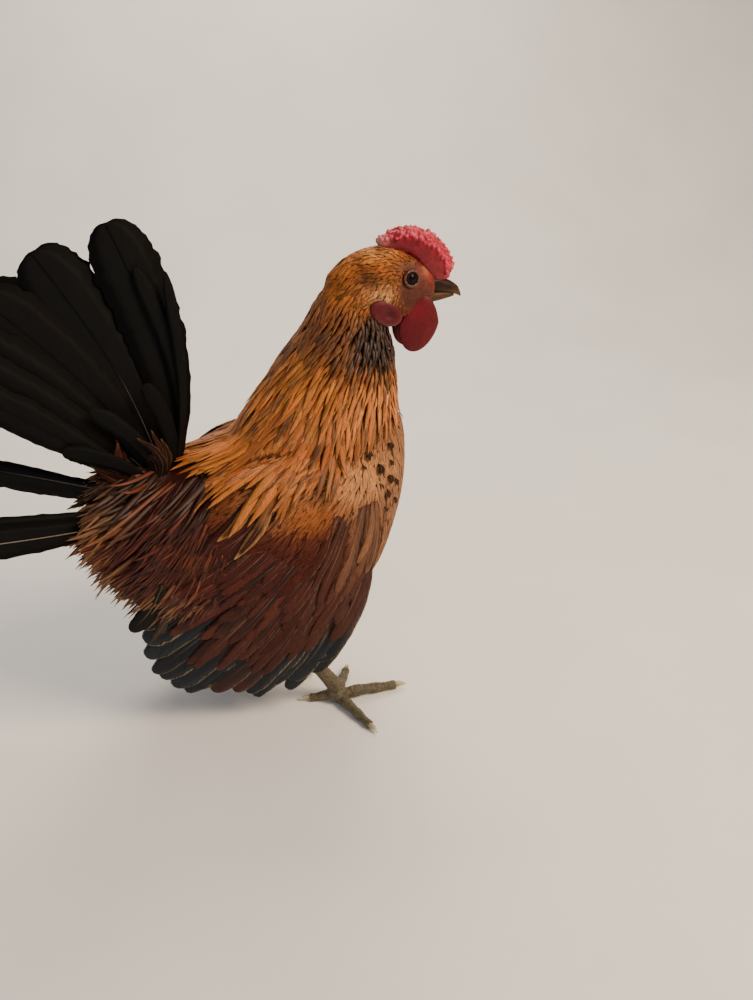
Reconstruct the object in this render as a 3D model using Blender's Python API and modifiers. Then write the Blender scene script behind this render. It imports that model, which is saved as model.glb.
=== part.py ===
"""A bantam cockerel as a still, life-size model, standing on its two feet.

The bird faces +X with +Z up, and its own right side is at -Y. It is built about the point
on the floor between its feet, and moved at the end so that the origin lies under the middle
of its bounding box. Each sub-part is one closed object. Where two sub-parts touch, one is cut
clear of the other by GAP.
"""

import math
import random

import bmesh
import bpy
import numpy as np
from mathutils import Matrix, Vector
from mathutils.bvhtree import BVHTree

MM = 0.001
GAP = 0.3 * MM
CORNER_GROWTH = GAP * 1.45

# Torso: x of each cross-section, its lowest and highest z and its half width, front to back.
TORSO = (
    (44, 118, 160, 13),
    (39, 100, 167, 23),
    (28, 72, 171, 33),
    (12, 54, 171, 40),
    (-6, 45, 167, 44),
    (-26, 42, 161, 45),
    (-46, 47, 154, 42),
    (-64, 60, 148, 35),
    (-80, 80, 141, 24),
    (-91, 97, 133, 13),
)
TORSO_FRONT = (47, 139)
TORSO_BACK = (-95, 116)
BODY_FULLNESS = 2.2

# Neck: z of each cross-section, its back and front x and its half width, low to high.
NECK = (
    (150, -46, 43, 36),
    (162, -37, 43, 33),
    (176, -26, 41.5, 28.5),
    (190, -16, 40, 24),
    (204, -7, 38, 19.5),
    (218, 0, 35, 16),
    (230, 7, 31, 12),
)

# Head: x of each cross-section, its lowest and highest z and its half width, back to front.
HEAD = (
    (8, 212, 232, 9),
    (16, 205, 239.5, 12.3),
    (28, 203, 244.5, 13.5),
    (40, 206, 244.5, 13),
    (50, 210, 240.5, 10.8),
    (57, 214, 235, 8),
    (61, 217, 231, 5.5),
)
HEAD_BACK = (5, 224)
HEAD_FRONT = (62, 224)
# The nape and throat ends of the cut between head and neck.
NAPE = (4, 226)
THROAT = (43, 203)

EYE = Vector((46.1, 8.9, 230.2)) * MM
EYE_RADIUS = 3.6 * MM
EYE_AXIS = Vector((0.24, 1.0, 0.10)).normalized()
LID_RADIUS = 3.9 * MM
LID_THICKNESS = 1.0 * MM
LID_STANDS = 0.62

# Comb: centre line x and z, half height across that line and half width, back to front.
COMB = (
    (31.5, 247.4, 0.9, 0.9),
    (36, 246.8, 2.6, 2.8),
    (44, 248.0, 4.4, 4.6),
    (52, 246.2, 5.4, 5.4),
    (59, 240.8, 5.6, 5.2),
    (64, 233.6, 5.2, 4.6),
    (66, 227.0, 3.6, 3.2),
)
COMB_BEAD_RADIUS = 1.75 * MM
COMB_BEAD_ROWS = 6
COMB_BEADS_ACROSS = (-48, 0, 48)

# Beak: x of each cross-section, its lowest and highest z and its half width, base to tip.
BEAK_UPPER = (
    (57, 221.3, 230.0, 5.0),
    (64, 221.1, 228.6, 4.2),
    (70, 220.4, 226.2, 2.9),
    (74.5, 218.9, 223.0, 1.4),
)
BEAK_UPPER_TIP = (76.2, 218.2)
BEAK_LOWER = ((56, 215.6, 220.9, 4.4), (63, 216.6, 220.7, 3.6), (69, 217.8, 220.0, 2.2))
BEAK_LOWER_TIP = (72.4, 218.9)
NOSTRIL = Vector((62.4, 4.4, 225.4)) * MM

WATTLE = Vector((53.2, 6.9, 207.0)) * MM
WATTLE_SIZE = Vector((9.2, 1.7, 14.0)) * MM
EARLOBE = Vector((32.5, 11.6, 213.6)) * MM
EARLOBE_SIZE = Vector((7.0, 2.2, 6.0)) * MM

# Wing: how far its surface stands from the median plane by height, and how that shrinks by x.
WING_REACH = (
    (20, 34), (30, 37), (45, 42), (65, 46.5), (85, 49),
    (105, 49.5), (125, 46.5), (140, 41), (152, 33), (164, 22),
)
WING_TAPER = ((-105, 0.70), (-75, 0.86), (-50, 0.97), (-25, 1.0), (0, 0.965), (15, 0.88), (28, 0.74))
# The outline of the wing's arm, seen from the side.
WING_ARM = (
    (17, 147), (26, 130), (25, 106), (13, 84), (-20, 76),
    (-47, 83), (-64, 103), (-65, 127), (-46, 143), (-18, 152),
)
WING_ARM_BULGE = 3.0 * MM
WING_ARM_RIM = 1.6 * MM
WING_ARM_DEPTH = 14 * MM

# Tail: the lump that the feathers of the right and left half rise from.
TAIL_ROOT = Vector((-83, 5.6, 131)) * MM
TAIL_BASE_SIZE = Vector((14, 6.4, 16)) * MM

# Body feathers: thickness, how deep the root sits, and how far the feather clears what it lies on.
VANE_THICKNESS = 0.55 * MM
ROOT_DEPTH = 2.6 * MM
RIDE = 0.55 * MM
STAND_OFF = 0.06
LIFT_PER_LENGTH = 0.1
OVERLAP_TILT = 7.0

# Feather outlines: the share of the full width at each station from root to tip, and where the
# stations lie along the feather where they aren't evenly spaced. The upper hackle tiers are short.
HACKLE_SHAPE = (0.6, 1.0, 0.94, 0.66, 0)
SHORT_SHAPE = (0.7, 1.0, 0.78, 0)
SHORT_TIERS = 3
FLIGHT_SHAPE = (0.5, 0.85, 1.0, 0.98, 0.8, 0.34)
FLIGHT_PLACES = (0, 0.25, 0.55, 0.8, 0.94, 1)
COVERT_PLACES = (0, 0.3, 0.6, 0.85, 1)
TAIL_SHAPE = (0.3, 0.6, 0.94, 0.98, 0.74, 0.3)
TAIL_PLACES = (0, 0.26, 0.58, 0.82, 0.94, 1)

# Hackle tiers from the head down: root z at the back and at the front, how far round each side
# the tier runs from the back in degrees, feather count, length at the back and at the front, width.
HACKLE = (
    (219, 202, 165, 9, 23, 16, 10.4),
    (206, 190, 165, 9, 29, 19, 12.6),
    (193, 178, 165, 10, 35, 22, 13.4),
    (180, 167, 150, 10, 38, 26, 14.6),
    (166, 159, 126, 9, 38, 36, 15.0),
    (155, 154, 100, 7, 28, 48, 16.5),
)

# Saddle and vent tiers: the x and z of the first and last root, feather count on one side,
# length, width, and how strongly the feathers point back, out and down.
SADDLE = (
    ((-56, 142), (-78, 136), 3, 45, 14, (-0.84, 0.52, -0.44)),
    ((-68, 127), (-88, 124), 3, 50, 14, (-0.92, 0.34, -0.30)),
    ((-76, 108), (-91, 112), 3, 48, 14, (-0.88, 0.22, -0.42)),
    ((-66, 84), (-87, 97), 2, 41, 16, (-0.72, 0.06, -0.66)),
)
# How many saddle tiers lie over the rear of the wings; the ones below them lie on the rump.
SADDLE_OVER_WING = 1

# Flight feathers of a wing, as seen from the side: roots from the wrist back, and tips round the fan.
FLIGHT_ROOTS = ((17, 103), (3, 102), (-14, 104), (-34, 112), (-50, 122))
FLIGHT_TIPS = (
    (-9, 40), (-19, 26), (-31, 20), (-44, 19), (-57, 21), (-70, 25),
    (-82, 31), (-91, 42), (-96, 56), (-98, 71), (-97, 86), (-93, 101),
)
FLIGHT_COUNT = 11
FLIGHT_WIDTH = 15.0 * MM
# Wing covert tiers: roots, tips, feather count, width, and how far the root and the tip stand out.
COVERT_TIERS = (
    (
        ((17, 116), (-14, 116), (-46, 130)),
        ((-7, 71), (-32, 62), (-58, 68), (-78, 88), (-82, 112)),
        5, 17.0, (1.8, 4.8),
    ),
    (
        ((20, 132), (-8, 128), (-36, 140)),
        ((6, 92), (-16, 84), (-40, 88), (-60, 104), (-66, 124)),
        4, 17.0, (1.8, 6.4),
    ),
)

# Tail feathers of one side, as seen from the side: root, tip, how far the tip stands out, width
# and how far the shaft bows forward, from the front of the fan to its lowest feather. The lowest two
# lie together, well apart from the fan above them, and spread to the side.
TAIL_FEATHERS = (
    ((-75, 138), (-92, 259), 3.5, 26, 9),
    ((-80, 137), (-124, 248), 6.5, 27, 6),
    ((-81, 136), (-148, 232), 10.5, 27, 6),
    ((-83, 134), (-168, 221), 15.0, 26, 5),
    ((-85, 131), (-174, 213), 20.0, 23, 5),
    ((-86, 128), (-178, 204), 25.0, 19, 4),
    ((-86, 120), (-197, 138), 49.0, 14, 0),
    ((-85, 117), (-188, 133), 52.0, 16, -1),
)
TAIL_SICKLES = (
    ((-74, 138), (-82, 240), 5.0, 9, 10),
    ((-75, 137), (-69, 236), 7.0, 6, 6),
)
TAIL_COVERTS = (
    ((-78, 137), (-84, 188), 12.0, 9, 6),
    ((-82, 134), (-109, 178), 15.0, 9, 6),
    ((-84, 131), (-124, 160), 17.0, 9, 5),
)
TAIL_OVERLAP_TILT = 7.0
TAIL_THICKNESS = 0.8 * MM
# How far the roots of the feathers, sickles and coverts stand from the median plane.
TAIL_LAYERS = ((TAIL_FEATHERS, 3.0), (TAIL_SICKLES, 4.5), (TAIL_COVERTS, 5.6))

# Legs: hock and ankle of each, and each toe's name, turn from the foot's heading, length and radius.
HOCK = {"right": Vector((-21, -27, 43)) * MM, "left": Vector((-44, 24, 43)) * MM}
ANKLE = {"right": Vector((1, -28, 9)) * MM, "left": Vector((-25, 22, 9)) * MM}
FOOT_HEADING = {"right": 3.0, "left": 4.0}
TOES = (
    ("hallux", 165, 15, 3.0),
    ("inner", 62, 25, 3.1),
    ("middle", 0, 35, 3.4),
    ("outer", -70, 31, 3.1),
)
SHANK_RADIUS = 3.9 * MM
CLAW_LENGTH = 6.5 * MM
CLAW_TAPER = (0.72, 0.6, 0.32, 0.08)
TOE_RINGS = 6
FOOT_SIZE = Vector((6.6, 5.8, 5.0)) * MM

SIDES = (("right", -1), ("left", 1))

COLOURS = {
    "plumage_gold": ((0.62, 0.27, 0.07), 0.75),
    "plumage_red": ((0.32, 0.09, 0.04), 0.75),
    "plumage_black": ((0.03, 0.035, 0.04), 0.6),
    "comb_skin": ((0.62, 0.03, 0.05), 0.5),
    "horn": ((0.42, 0.33, 0.2), 0.4),
    "eye": ((0.06, 0.025, 0.015), 0.1),
    "leg_scale": ((0.5, 0.42, 0.24), 0.5),
}


def material(slot):
    found = bpy.data.materials.get(slot)
    if found:
        return found
    colour, roughness = COLOURS[slot]
    made = bpy.data.materials.new(slot)
    made.use_nodes = True
    shader = made.node_tree.nodes["Principled BSDF"]
    shader.inputs["Base Color"].default_value = (*colour, 1)
    shader.inputs["Roughness"].default_value = roughness
    shader.inputs["Metallic"].default_value = 0.0
    return made


def clear_scene():
    for old in list(bpy.data.objects):
        bpy.data.objects.remove(old)
    bird = bpy.data.collections.new("bantam_cockerel")
    bpy.context.scene.collection.children.link(bird)
    return bird


def finish_mesh(name, bm, slot=None):
    """Turns a bmesh into a named object of the bird, with its faces pointing out."""
    bmesh.ops.recalc_face_normals(bm, faces=bm.faces[:])
    mesh = bpy.data.meshes.new(name)
    bm.to_mesh(mesh)
    bm.free()
    made = bpy.data.objects.new(name, mesh)
    BIRD.objects.link(made)
    if slot:
        mesh.materials.append(material(slot))
    return made


def smooth_between(stations, steps):
    """Catmull-Rom rows through the given stations, with that many steps from one to the next."""
    rows = np.array(stations, float)
    rows = np.vstack([2 * rows[0] - rows[1], rows, 2 * rows[-1] - rows[-2]])
    made = []
    for i in range(1, len(rows) - 2):
        a, b, c, d = rows[i - 1 : i + 3]
        for t in np.arange(steps) / steps:
            square, cube = 2 * a - 5 * b + 4 * c - d, 3 * b - a - 3 * c + d
            made.append(0.5 * (2 * b + (c - a) * t + square * t**2 + cube * t**3))
    made.append(rows[-2])
    return made


def oval(across, up, sides, fullness=2.0):
    """Offsets round an oval, as (across, up) pairs, starting at the side."""
    power = 2.0 / fullness
    pairs = []
    for k in range(sides):
        turn = math.tau * k / sides
        c, s = math.cos(turn), math.sin(turn)
        pairs.append((across * math.copysign(abs(c) ** power, c), up * math.copysign(abs(s) ** power, s)))
    return pairs


def loft(name, rings, first=None, last=None, slot=None):
    """A closed surface through rings of equal count, each end closed by a point or a flat cap."""
    bm = bmesh.new()
    rows = [[bm.verts.new(p) for p in ring] for ring in rings]
    count = len(rows[0])
    for low, high in zip(rows, rows[1:]):
        for k in range(count):
            n = (k + 1) % count
            bm.faces.new((low[k], low[n], high[n], high[k]))
    for row, pole in ((rows[0], first), (rows[-1], last)):
        if pole is None:
            bm.faces.new(row)
            continue
        point = bm.verts.new(pole)
        for k in range(count):
            bm.faces.new((row[k], row[(k + 1) % count], point))
    return finish_mesh(name, bm, slot)


def loft_along_x(name, stations, steps, sides, first, last, slot, fullness=2.0):
    """A loft through upright ovals given as x, lowest z, highest z and half width, in millimetres."""
    rings = []
    for x, low, high, half in smooth_between(stations, steps):
        middle, up = (low + high) / 2, (high - low) / 2
        rings.append([Vector((x, y, middle + z)) * MM for y, z in oval(half, up, sides, fullness)])
    front = Vector((first[0], 0, first[1])) * MM
    back = Vector((last[0], 0, last[1])) * MM
    return loft(name, rings, front, back, slot)


def boolean(target, operation, other):
    """Applies a Boolean with one object, or with every object of a collection, and removes what was used."""
    modifier = target.modifiers.new("join_or_cut", "BOOLEAN")
    modifier.operation = operation
    modifier.solver = "MANIFOLD"
    if isinstance(other, bpy.types.Collection):
        modifier.operand_type = "COLLECTION"
        modifier.collection = other
        used = list(other.objects)
    else:
        modifier.object = other
        used = [other]
    apply_modifiers(target)
    for tool in used:
        bpy.data.objects.remove(tool)
    if isinstance(other, bpy.types.Collection):
        bpy.data.collections.remove(other)
    return target


def apply_modifiers(target):
    graph = bpy.context.evaluated_depsgraph_get()
    mesh = bpy.data.meshes.new_from_object(target.evaluated_get(graph))
    target.modifiers.clear()
    target.data = mesh


def keep_largest(target):
    """Keeps only the largest closed surface of a mesh."""
    bm = bmesh.new()
    bm.from_mesh(target.data)
    unseen = set(bm.faces)
    shells = []
    while unseen:
        start = unseen.pop()
        shell, edge = [start], [start]
        while edge:
            for side in edge.pop().edges:
                for face in side.link_faces:
                    if face in unseen:
                        unseen.remove(face)
                        shell.append(face)
                        edge.append(face)
        shells.append(shell)
    size = [abs(sum(f.calc_center_median().dot(f.normal) * f.calc_area() for f in shell)) for shell in shells]
    largest = shells[size.index(max(size))]
    scraps = [f for shell in shells if shell is not largest for f in shell]
    bmesh.ops.delete(bm, geom=scraps, context="FACES")
    bm.to_mesh(target.data)
    bm.free()
    return target


def swollen(source, by=GAP):
    """A copy of an object grown outwards, for cutting a neighbour clear of it."""
    copy = source.copy()
    copy.data = source.data.copy()
    BIRD.objects.link(copy)
    normals = [v.normal.copy() for v in copy.data.vertices]
    for vertex, normal in zip(copy.data.vertices, normals):
        vertex.co += normal * by
    return copy


def gathered(name, pieces):
    """A collection that holds only the given objects."""
    group = bpy.data.collections.new(name)
    bpy.context.scene.collection.children.link(group)
    for piece in pieces:
        for holder in list(piece.users_collection):
            holder.objects.unlink(piece)
        group.objects.link(piece)
    return group


def cut_clear(target, *neighbours):
    """Cuts a body clear of its neighbours by GAP, piece by piece where a neighbour was joined from pieces."""
    for neighbour in neighbours:
        if neighbour.name in GROWN:
            copies = [swollen(piece, 0) for piece in GROWN[neighbour.name]]
            boolean(target, "DIFFERENCE", gathered(target.name + "_cut", copies))
        else:
            boolean(target, "DIFFERENCE", swollen(neighbour))
    return keep_largest(target)


def union(target, pieces):
    """Joins the pieces to the target and keeps the one closed body, and a grown copy of each piece."""
    grown = [swollen(target)] + [swollen(piece, CORNER_GROWTH) for piece in pieces]
    if target.name in GROWN:
        bpy.data.objects.remove(grown.pop(0))
    GROWN.setdefault(target.name, []).extend(grown)
    boolean(target, "UNION", gathered(target.name + "_pieces", pieces))
    return keep_largest(target)


def ellipsoid(name, centre, size, segments=16, rings=10, slot=None, turn=None):
    bm = bmesh.new()
    bmesh.ops.create_uvsphere(bm, u_segments=segments, v_segments=rings, radius=1.0)
    place = Matrix.Translation(centre) @ (turn or Matrix.Identity(4)) @ Matrix.Diagonal((*size, 1))
    bmesh.ops.transform(bm, matrix=place, verts=bm.verts[:])
    return finish_mesh(name, bm, slot)


def mirrored(point, sign):
    return Vector((point.x, point.y * sign, point.z))


def half_space(name, point, normal, size=0.4):
    """A block that fills one side of a plane, as a cutter."""
    bm = bmesh.new()
    bmesh.ops.create_cube(bm, size=size)
    turn = normal.to_track_quat("Z", "Y").to_matrix().to_4x4()
    place = Matrix.Translation(point + normal * size / 2) @ turn
    bmesh.ops.transform(bm, matrix=place, verts=bm.verts[:])
    return finish_mesh(name, bm)


def vane(spine, normals, widths, thickness=VANE_THICKNESS, tilt=0.0):
    """A feather as a thin closed strip along its spine, split alike on both faces. No width makes a point."""
    bm = bmesh.new()
    rows = []
    last = len(spine) - 1
    lean = math.radians(tilt)
    for i, (point, normal, width) in enumerate(zip(spine, normals, widths)):
        along = (spine[min(i + 1, last)] - spine[max(i - 1, 0)]).normalized()
        across = along.cross(normal).normalized()
        up = across.cross(along)
        turn = Matrix.Rotation(lean, 3, -along)
        across, up = turn @ across, turn @ up
        if not width:
            break
        side, rise = across * width / 2, up * thickness / 2
        rows.append([bm.verts.new(point + p) for p in (-side - rise, side - rise, side + rise, -side + rise)])
    for (a, b, c, d), (e, f, g, h) in zip(rows, rows[1:]):
        for corners in ((a, b, f), (a, f, e), (d, g, c), (d, h, g)):
            bm.faces.new(corners)
        for corners in ((b, c, g), (b, g, f), (d, a, e), (d, e, h)):
            bm.faces.new(corners)
    bm.faces.new(rows[0])
    if widths[-1]:
        bm.faces.new(rows[-1])
    else:
        tip = bm.verts.new(spine[-1])
        for corner, following in zip(rows[-1], rows[-1][1:] + rows[-1][:1]):
            bm.faces.new((corner, following, tip))
    return finish_mesh("vane", bm)


def surface_of(*sources):
    """A search tree over the faces of some objects, as they are now."""
    points, faces = [], []
    for source in sources:
        first = len(points)
        points += [v.co.copy() for v in source.data.vertices]
        faces += [[first + k for k in p.vertices] for p in source.data.polygons]
    return BVHTree.FromPolygons(points, faces)


def smooth_ground(*sources):
    """One smooth surface over several bodies, for feathers to lie along."""
    bm = bmesh.new()
    for source in sources:
        bm.from_mesh(source.data)
    blend = finish_mesh("ground", bm)
    remesh = blend.modifiers.new("one_surface", "REMESH")
    remesh.mode = "VOXEL"
    remesh.voxel_size = 3 * MM
    smooth = blend.modifiers.new("even", "SMOOTH")
    smooth.iterations = 8
    apply_modifiers(blend)
    tree = surface_of(blend)
    bpy.data.objects.remove(blend)
    return tree


def height_above(surfaces, point, normal, reach=16 * MM):
    """How high the highest of the surfaces stands over a point, or None where none does."""
    highest = None
    for surface in surfaces:
        hit = surface.ray_cast(point + normal * reach, -normal, reach * 1.4)
        if hit[0] is not None:
            top = reach - hit[3]
            highest = top if highest is None else max(highest, top)
    return highest


def lie_along(home, root, way, length, width, steps, ground, over, hug):
    """Stations of a feather rooted in home: it lies along the ground, and rides over what stands higher."""
    lift = LIFT_PER_LENGTH * length
    foot, out = home.find_nearest(root)[:2]
    way = (way.normalized() - out * min(0, way.normalized().dot(out) - STAND_OFF)).normalized()
    points, normals = [foot - out * ROOT_DEPTH], [out]
    point = foot
    for k in range(1, steps + 1):
        share = k / steps
        wanted = RIDE + lift * share
        step = point + way * length / steps
        near, normal = ground.find_nearest(step)[:2]
        height = (step - near).dot(normal)
        if height > wanted:
            step -= normal * (height - wanted) * hug
        else:
            step = near + normal * wanted
        across = way.cross(normal).normalized() * width * 0.42 * (1 - share * 0.6)
        tops = [height_above(over, step + across * side, normal) for side in (-1, 0, 1)]
        tops = [top for top in tops if top is not None]
        if tops and max(tops) > -RIDE - VANE_THICKNESS:
            step += normal * (max(tops) + RIDE + VANE_THICKNESS)
        way = (step - point).normalized()
        points.append(step)
        normals.append(normal)
        point = step
    return points, normals


def shade(target):
    target.data.shade_smooth()
    target.data.set_sharp_from_angle(angle=math.radians(50))


def make_torso():
    ends = (TORSO_FRONT, TORSO_BACK)
    return loft_along_x("torso", TORSO, 2, 20, *ends, "plumage_gold", BODY_FULLNESS)


def neck_rings():
    rings = []
    for z, back, front, half in smooth_between(NECK, 2):
        middle, along = (back + front) / 2, (front - back) / 2
        rings.append([Vector((middle + x, y, z)) * MM for y, x in oval(half, along, 18, 2.1)])
    return rings


def head_plane():
    nape, throat = Vector((NAPE[0], 0, NAPE[1])) * MM, Vector((THROAT[0], 0, THROAT[1])) * MM
    along = (throat - nape).normalized()
    return (nape + throat) / 2, Vector((-along.z, 0, along.x))


def make_neck():
    rings = neck_rings()
    bottom = Vector((0, 0, (NECK[0][0] - 2) * MM))
    top = Vector((19 * MM, 0, (NECK[-1][0] + 2) * MM))
    return loft("neck", rings, bottom, top, "plumage_gold")


def make_head():
    head = loft_along_x("head", HEAD, 2, 18, HEAD_BACK, HEAD_FRONT, "plumage_gold")
    point, up = head_plane()
    boolean(head, "DIFFERENCE", half_space("below", point + up * GAP / 2, -up))
    lids = []
    for side, sign in SIDES:
        turn = mirrored(EYE_AXIS, sign).to_track_quat("Z", "Y").to_matrix().to_4x4()
        rim = mirrored(EYE + EYE_AXIS * EYE_RADIUS * LID_STANDS, sign)
        bpy.ops.mesh.primitive_torus_add(
            major_segments=14, minor_segments=5, major_radius=LID_RADIUS, minor_radius=LID_THICKNESS
        )
        lid = bpy.context.object
        lid.data.transform(Matrix.Translation(rim) @ turn)
        lids.append(lid)
    union(head, lids)
    for side, sign in SIDES:
        socket = ellipsoid("socket", mirrored(EYE, sign), Vector((1, 1, 1)) * (EYE_RADIUS + GAP), 12, 8)
        boolean(head, "DIFFERENCE", socket)
    return keep_largest(head)


def make_eyes():
    eyes = []
    for side, sign in SIDES:
        size = Vector((1, 1, 1)) * EYE_RADIUS
        eyes.append(ellipsoid("eye_" + side, mirrored(EYE, sign), size, 12, 8, "eye"))
    return eyes


def comb_frame(row):
    """Centre, outward direction and sizes of one row of the comb's stations."""
    x, z, up, half = row
    return Vector((x, 0, z)) * MM, up * MM, half * MM


def make_comb(head, upper, lower):
    rows = smooth_between(COMB, 2)
    rings, outward = [], []
    for i, row in enumerate(rows):
        centre, up, half = comb_frame(row)
        before, after = rows[max(i - 1, 0)], rows[min(i + 1, len(rows) - 1)]
        along = Vector((after[0] - before[0], 0, after[1] - before[1])).normalized()
        out = Vector((-along.z, 0, along.x))
        outward.append(out)
        rings.append([centre + Vector((0, 1, 0)) * y + out * u for y, u in oval(half, up, 10, 2.4)])
    comb = loft("comb", rings, None, None, "comb_skin")
    beads = []
    for i in range(COMB_BEAD_ROWS):
        at = 1.2 + i * (len(rows) - 2.2) / COMB_BEAD_ROWS
        low, mix = int(at), at - int(at)
        row = rows[low] * (1 - mix) + rows[low + 1] * mix
        out = outward[low].lerp(outward[low + 1], mix).normalized()
        centre, up, half = comb_frame(row)
        for k, lean in enumerate(COMB_BEADS_ACROSS):
            turn = math.radians(lean + 6 * math.sin(2.7 * i + k))
            place = centre + out * up * math.cos(turn) * 0.95 + Vector((0, 1, 0)) * half * math.sin(turn)
            bm = bmesh.new()
            size = COMB_BEAD_RADIUS * (0.85 + 0.2 * math.sin(1.9 * i + 2.3 * k))
            bmesh.ops.create_icosphere(bm, subdivisions=1, radius=size)
            bmesh.ops.translate(bm, vec=place, verts=bm.verts[:])
            beads.append(finish_mesh("bead", bm))
    union(comb, beads)
    return cut_clear(comb, head, upper, lower)


def make_beak(head):
    upper = loft_along_x(
        "beak_upper", BEAK_UPPER, 2, 10, (BEAK_UPPER[0][0] - 1, 225), BEAK_UPPER_TIP, "horn", 2.3
    )
    lower = loft_along_x(
        "beak_lower", BEAK_LOWER, 2, 10, (BEAK_LOWER[0][0] - 1, 218), BEAK_LOWER_TIP, "horn", 2.3
    )
    cut_clear(upper, head)
    cut_clear(lower, head)
    for side, sign in SIDES:
        slit = ellipsoid("nostril", mirrored(NOSTRIL, sign), Vector((1.5, 1.0, 0.6)) * MM, 8, 5)
        boolean(upper, "DIFFERENCE", slit)
    cut_clear(lower, upper)
    return keep_largest(upper), lower


def make_wattles(head, lower_beak, neck):
    made = []
    for side, sign in SIDES:
        bm = bmesh.new()
        bmesh.ops.create_uvsphere(bm, u_segments=12, v_segments=8, radius=1.0)
        for v in bm.verts:
            narrow = 1.0 - 0.34 * max(v.co.z, 0) + 0.06 * min(v.co.z, 0)
            fold = 0.35 * math.sin(3.0 * v.co.x) * (1 - v.co.z**2)
            thick = 1 + 0.5 * max(v.co.z, 0)
            v.co = Vector((v.co.x * narrow + 0.26 * v.co.z, v.co.y * thick + fold * 0.4, v.co.z))
        place = Matrix.Translation(mirrored(WATTLE, sign)) @ Matrix.Diagonal((*WATTLE_SIZE, 1))
        bmesh.ops.transform(bm, matrix=place, verts=bm.verts[:])
        wattle = finish_mesh("wattle_" + side, bm, "comb_skin")
        made.append(cut_clear(wattle, head, lower_beak, neck))
    return made


def make_earlobes(head, neck):
    made = []
    for side, sign in SIDES:
        turn = Matrix.Rotation(math.radians(28), 4, "Y") @ Matrix.Rotation(math.radians(-8 * sign), 4, "Z")
        lobe = ellipsoid("earlobe_" + side, mirrored(EARLOBE, sign), EARLOBE_SIZE, 12, 7, "comb_skin", turn)
        made.append(cut_clear(lobe, head, neck))
    return made


def wing_point(x, z, out, sign):
    """A point of the wing's surface, moved outwards by out metres; x and z are in millimetres."""
    heights, reach = zip(*WING_REACH)
    places, taper = zip(*WING_TAPER)
    stand = np.interp(z, heights, reach) * np.interp(x, places, taper)
    return Vector((x * MM, sign * (stand * MM + out), z * MM))


def wing_arm(name, sign, slot):
    """The feathered arm of the wing: a pillow on the wing's surface, thick enough to reach the torso."""
    outline = np.array(smooth_between(WING_ARM + WING_ARM[:1], 2)[:-1])
    middle = outline.mean(axis=0)
    rings = []
    for share, depth in ((1.0, -WING_ARM_DEPTH), (1.0, 0.0), (0.82, 0.45), (0.5, 0.85), (0.2, 1.0)):
        out = depth if depth < 0 else WING_ARM_BULGE * depth + WING_ARM_RIM
        rings.append([wing_point(*(middle + (p - middle) * share), out, sign) for p in outline])
    inner = wing_point(*middle, -WING_ARM_DEPTH, sign)
    outer = wing_point(*middle, WING_ARM_BULGE + WING_ARM_RIM, sign)
    return loft(name, rings, inner, outer, slot)


def spline_point(stations, share):
    """The point at a share from 0 to 1 along a smooth line through the stations."""
    rows = smooth_between(stations, 6)
    at = share * (len(rows) - 1)
    low = min(int(at), len(rows) - 2)
    return rows[low] * (1 - (at - low)) + rows[low + 1] * (at - low)


def wing_vane(sign, root, tip, bow, width, out, shape, places, tilt):
    """A feather on the wing's surface from root to tip, both seen from the side in millimetres."""
    along = tip - root
    side = np.array((-along[1], along[0])) / np.hypot(*along)
    spine, normals, widths = [], [], []
    for share, t in zip(shape, places):
        x, z = root + along * t + side * bow * math.sin(math.pi * t)
        rise = out[0] + (out[1] - out[0]) * t**0.6
        spine.append(wing_point(x, z, rise * MM, sign))
        dx = wing_point(x + 4, z, 0, sign) - wing_point(x - 4, z, 0, sign)
        dz = wing_point(x, z + 4, 0, sign) - wing_point(x, z - 4, 0, sign)
        normal = dx.cross(dz).normalized()
        normals.append(normal if normal.y * sign > 0 else -normal)
        widths.append(width * share)
    return vane(spine, normals, widths, tilt=tilt * sign)


def wing_feathers(sign):
    rng = random.Random(11)
    made = []
    for k in range(FLIGHT_COUNT):
        share = k / (FLIGHT_COUNT - 1)
        root, tip = spline_point(FLIGHT_ROOTS, share), spline_point(FLIGHT_TIPS, share)
        width = FLIGHT_WIDTH * rng.uniform(0.94, 1.06)
        form = (FLIGHT_SHAPE, FLIGHT_PLACES, 9)
        made.append(wing_vane(sign, root, tip, 4 - 3 * share, width, (-1.4, 1.4), *form))
    for roots, tips, count, width, out in COVERT_TIERS:
        for k in range(count):
            share = k / (count - 1)
            root, tip = spline_point(roots, share), spline_point(tips, share)
            width_here = width * MM * rng.uniform(0.94, 1.06)
            made.append(wing_vane(sign, root, tip, 2, width_here, out, HACKLE_SHAPE, COVERT_PLACES, 8))
    return made


def make_wings():
    made = []
    for side, sign in SIDES:
        wing = wing_arm("wing_" + side, sign, "plumage_red")
        made.append(union(wing, wing_feathers(sign)))
    return made


def tail_vane(sign, feather, base_out):
    """A tail feather that leans out from base_out at its root to its own stand at the tip."""
    root, tip, stand, width, bow = feather
    root, tip = np.array(root, float), np.array(tip, float)
    along = tip - root
    side = np.array((along[1], -along[0])) / np.hypot(*along)
    spine, widths = [], []
    for share, t in zip(TAIL_SHAPE, TAIL_PLACES):
        x, z = root + along * t + side * bow * math.sin(math.pi * t**0.9)
        y = base_out + (stand - base_out) * t**0.8
        spine.append(Vector((x, sign * y, z)) * MM)
        widths.append(width * share * MM)
    outward = np.array((0.0, sign, 0.0))
    way = np.array((along[0], sign * (stand - base_out), along[1]))
    way /= np.linalg.norm(way)
    normals = [Vector(outward - way * way.dot(outward)).normalized()] * len(spine)
    return vane(spine, normals, widths, TAIL_THICKNESS, TAIL_OVERLAP_TILT * sign)


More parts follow.
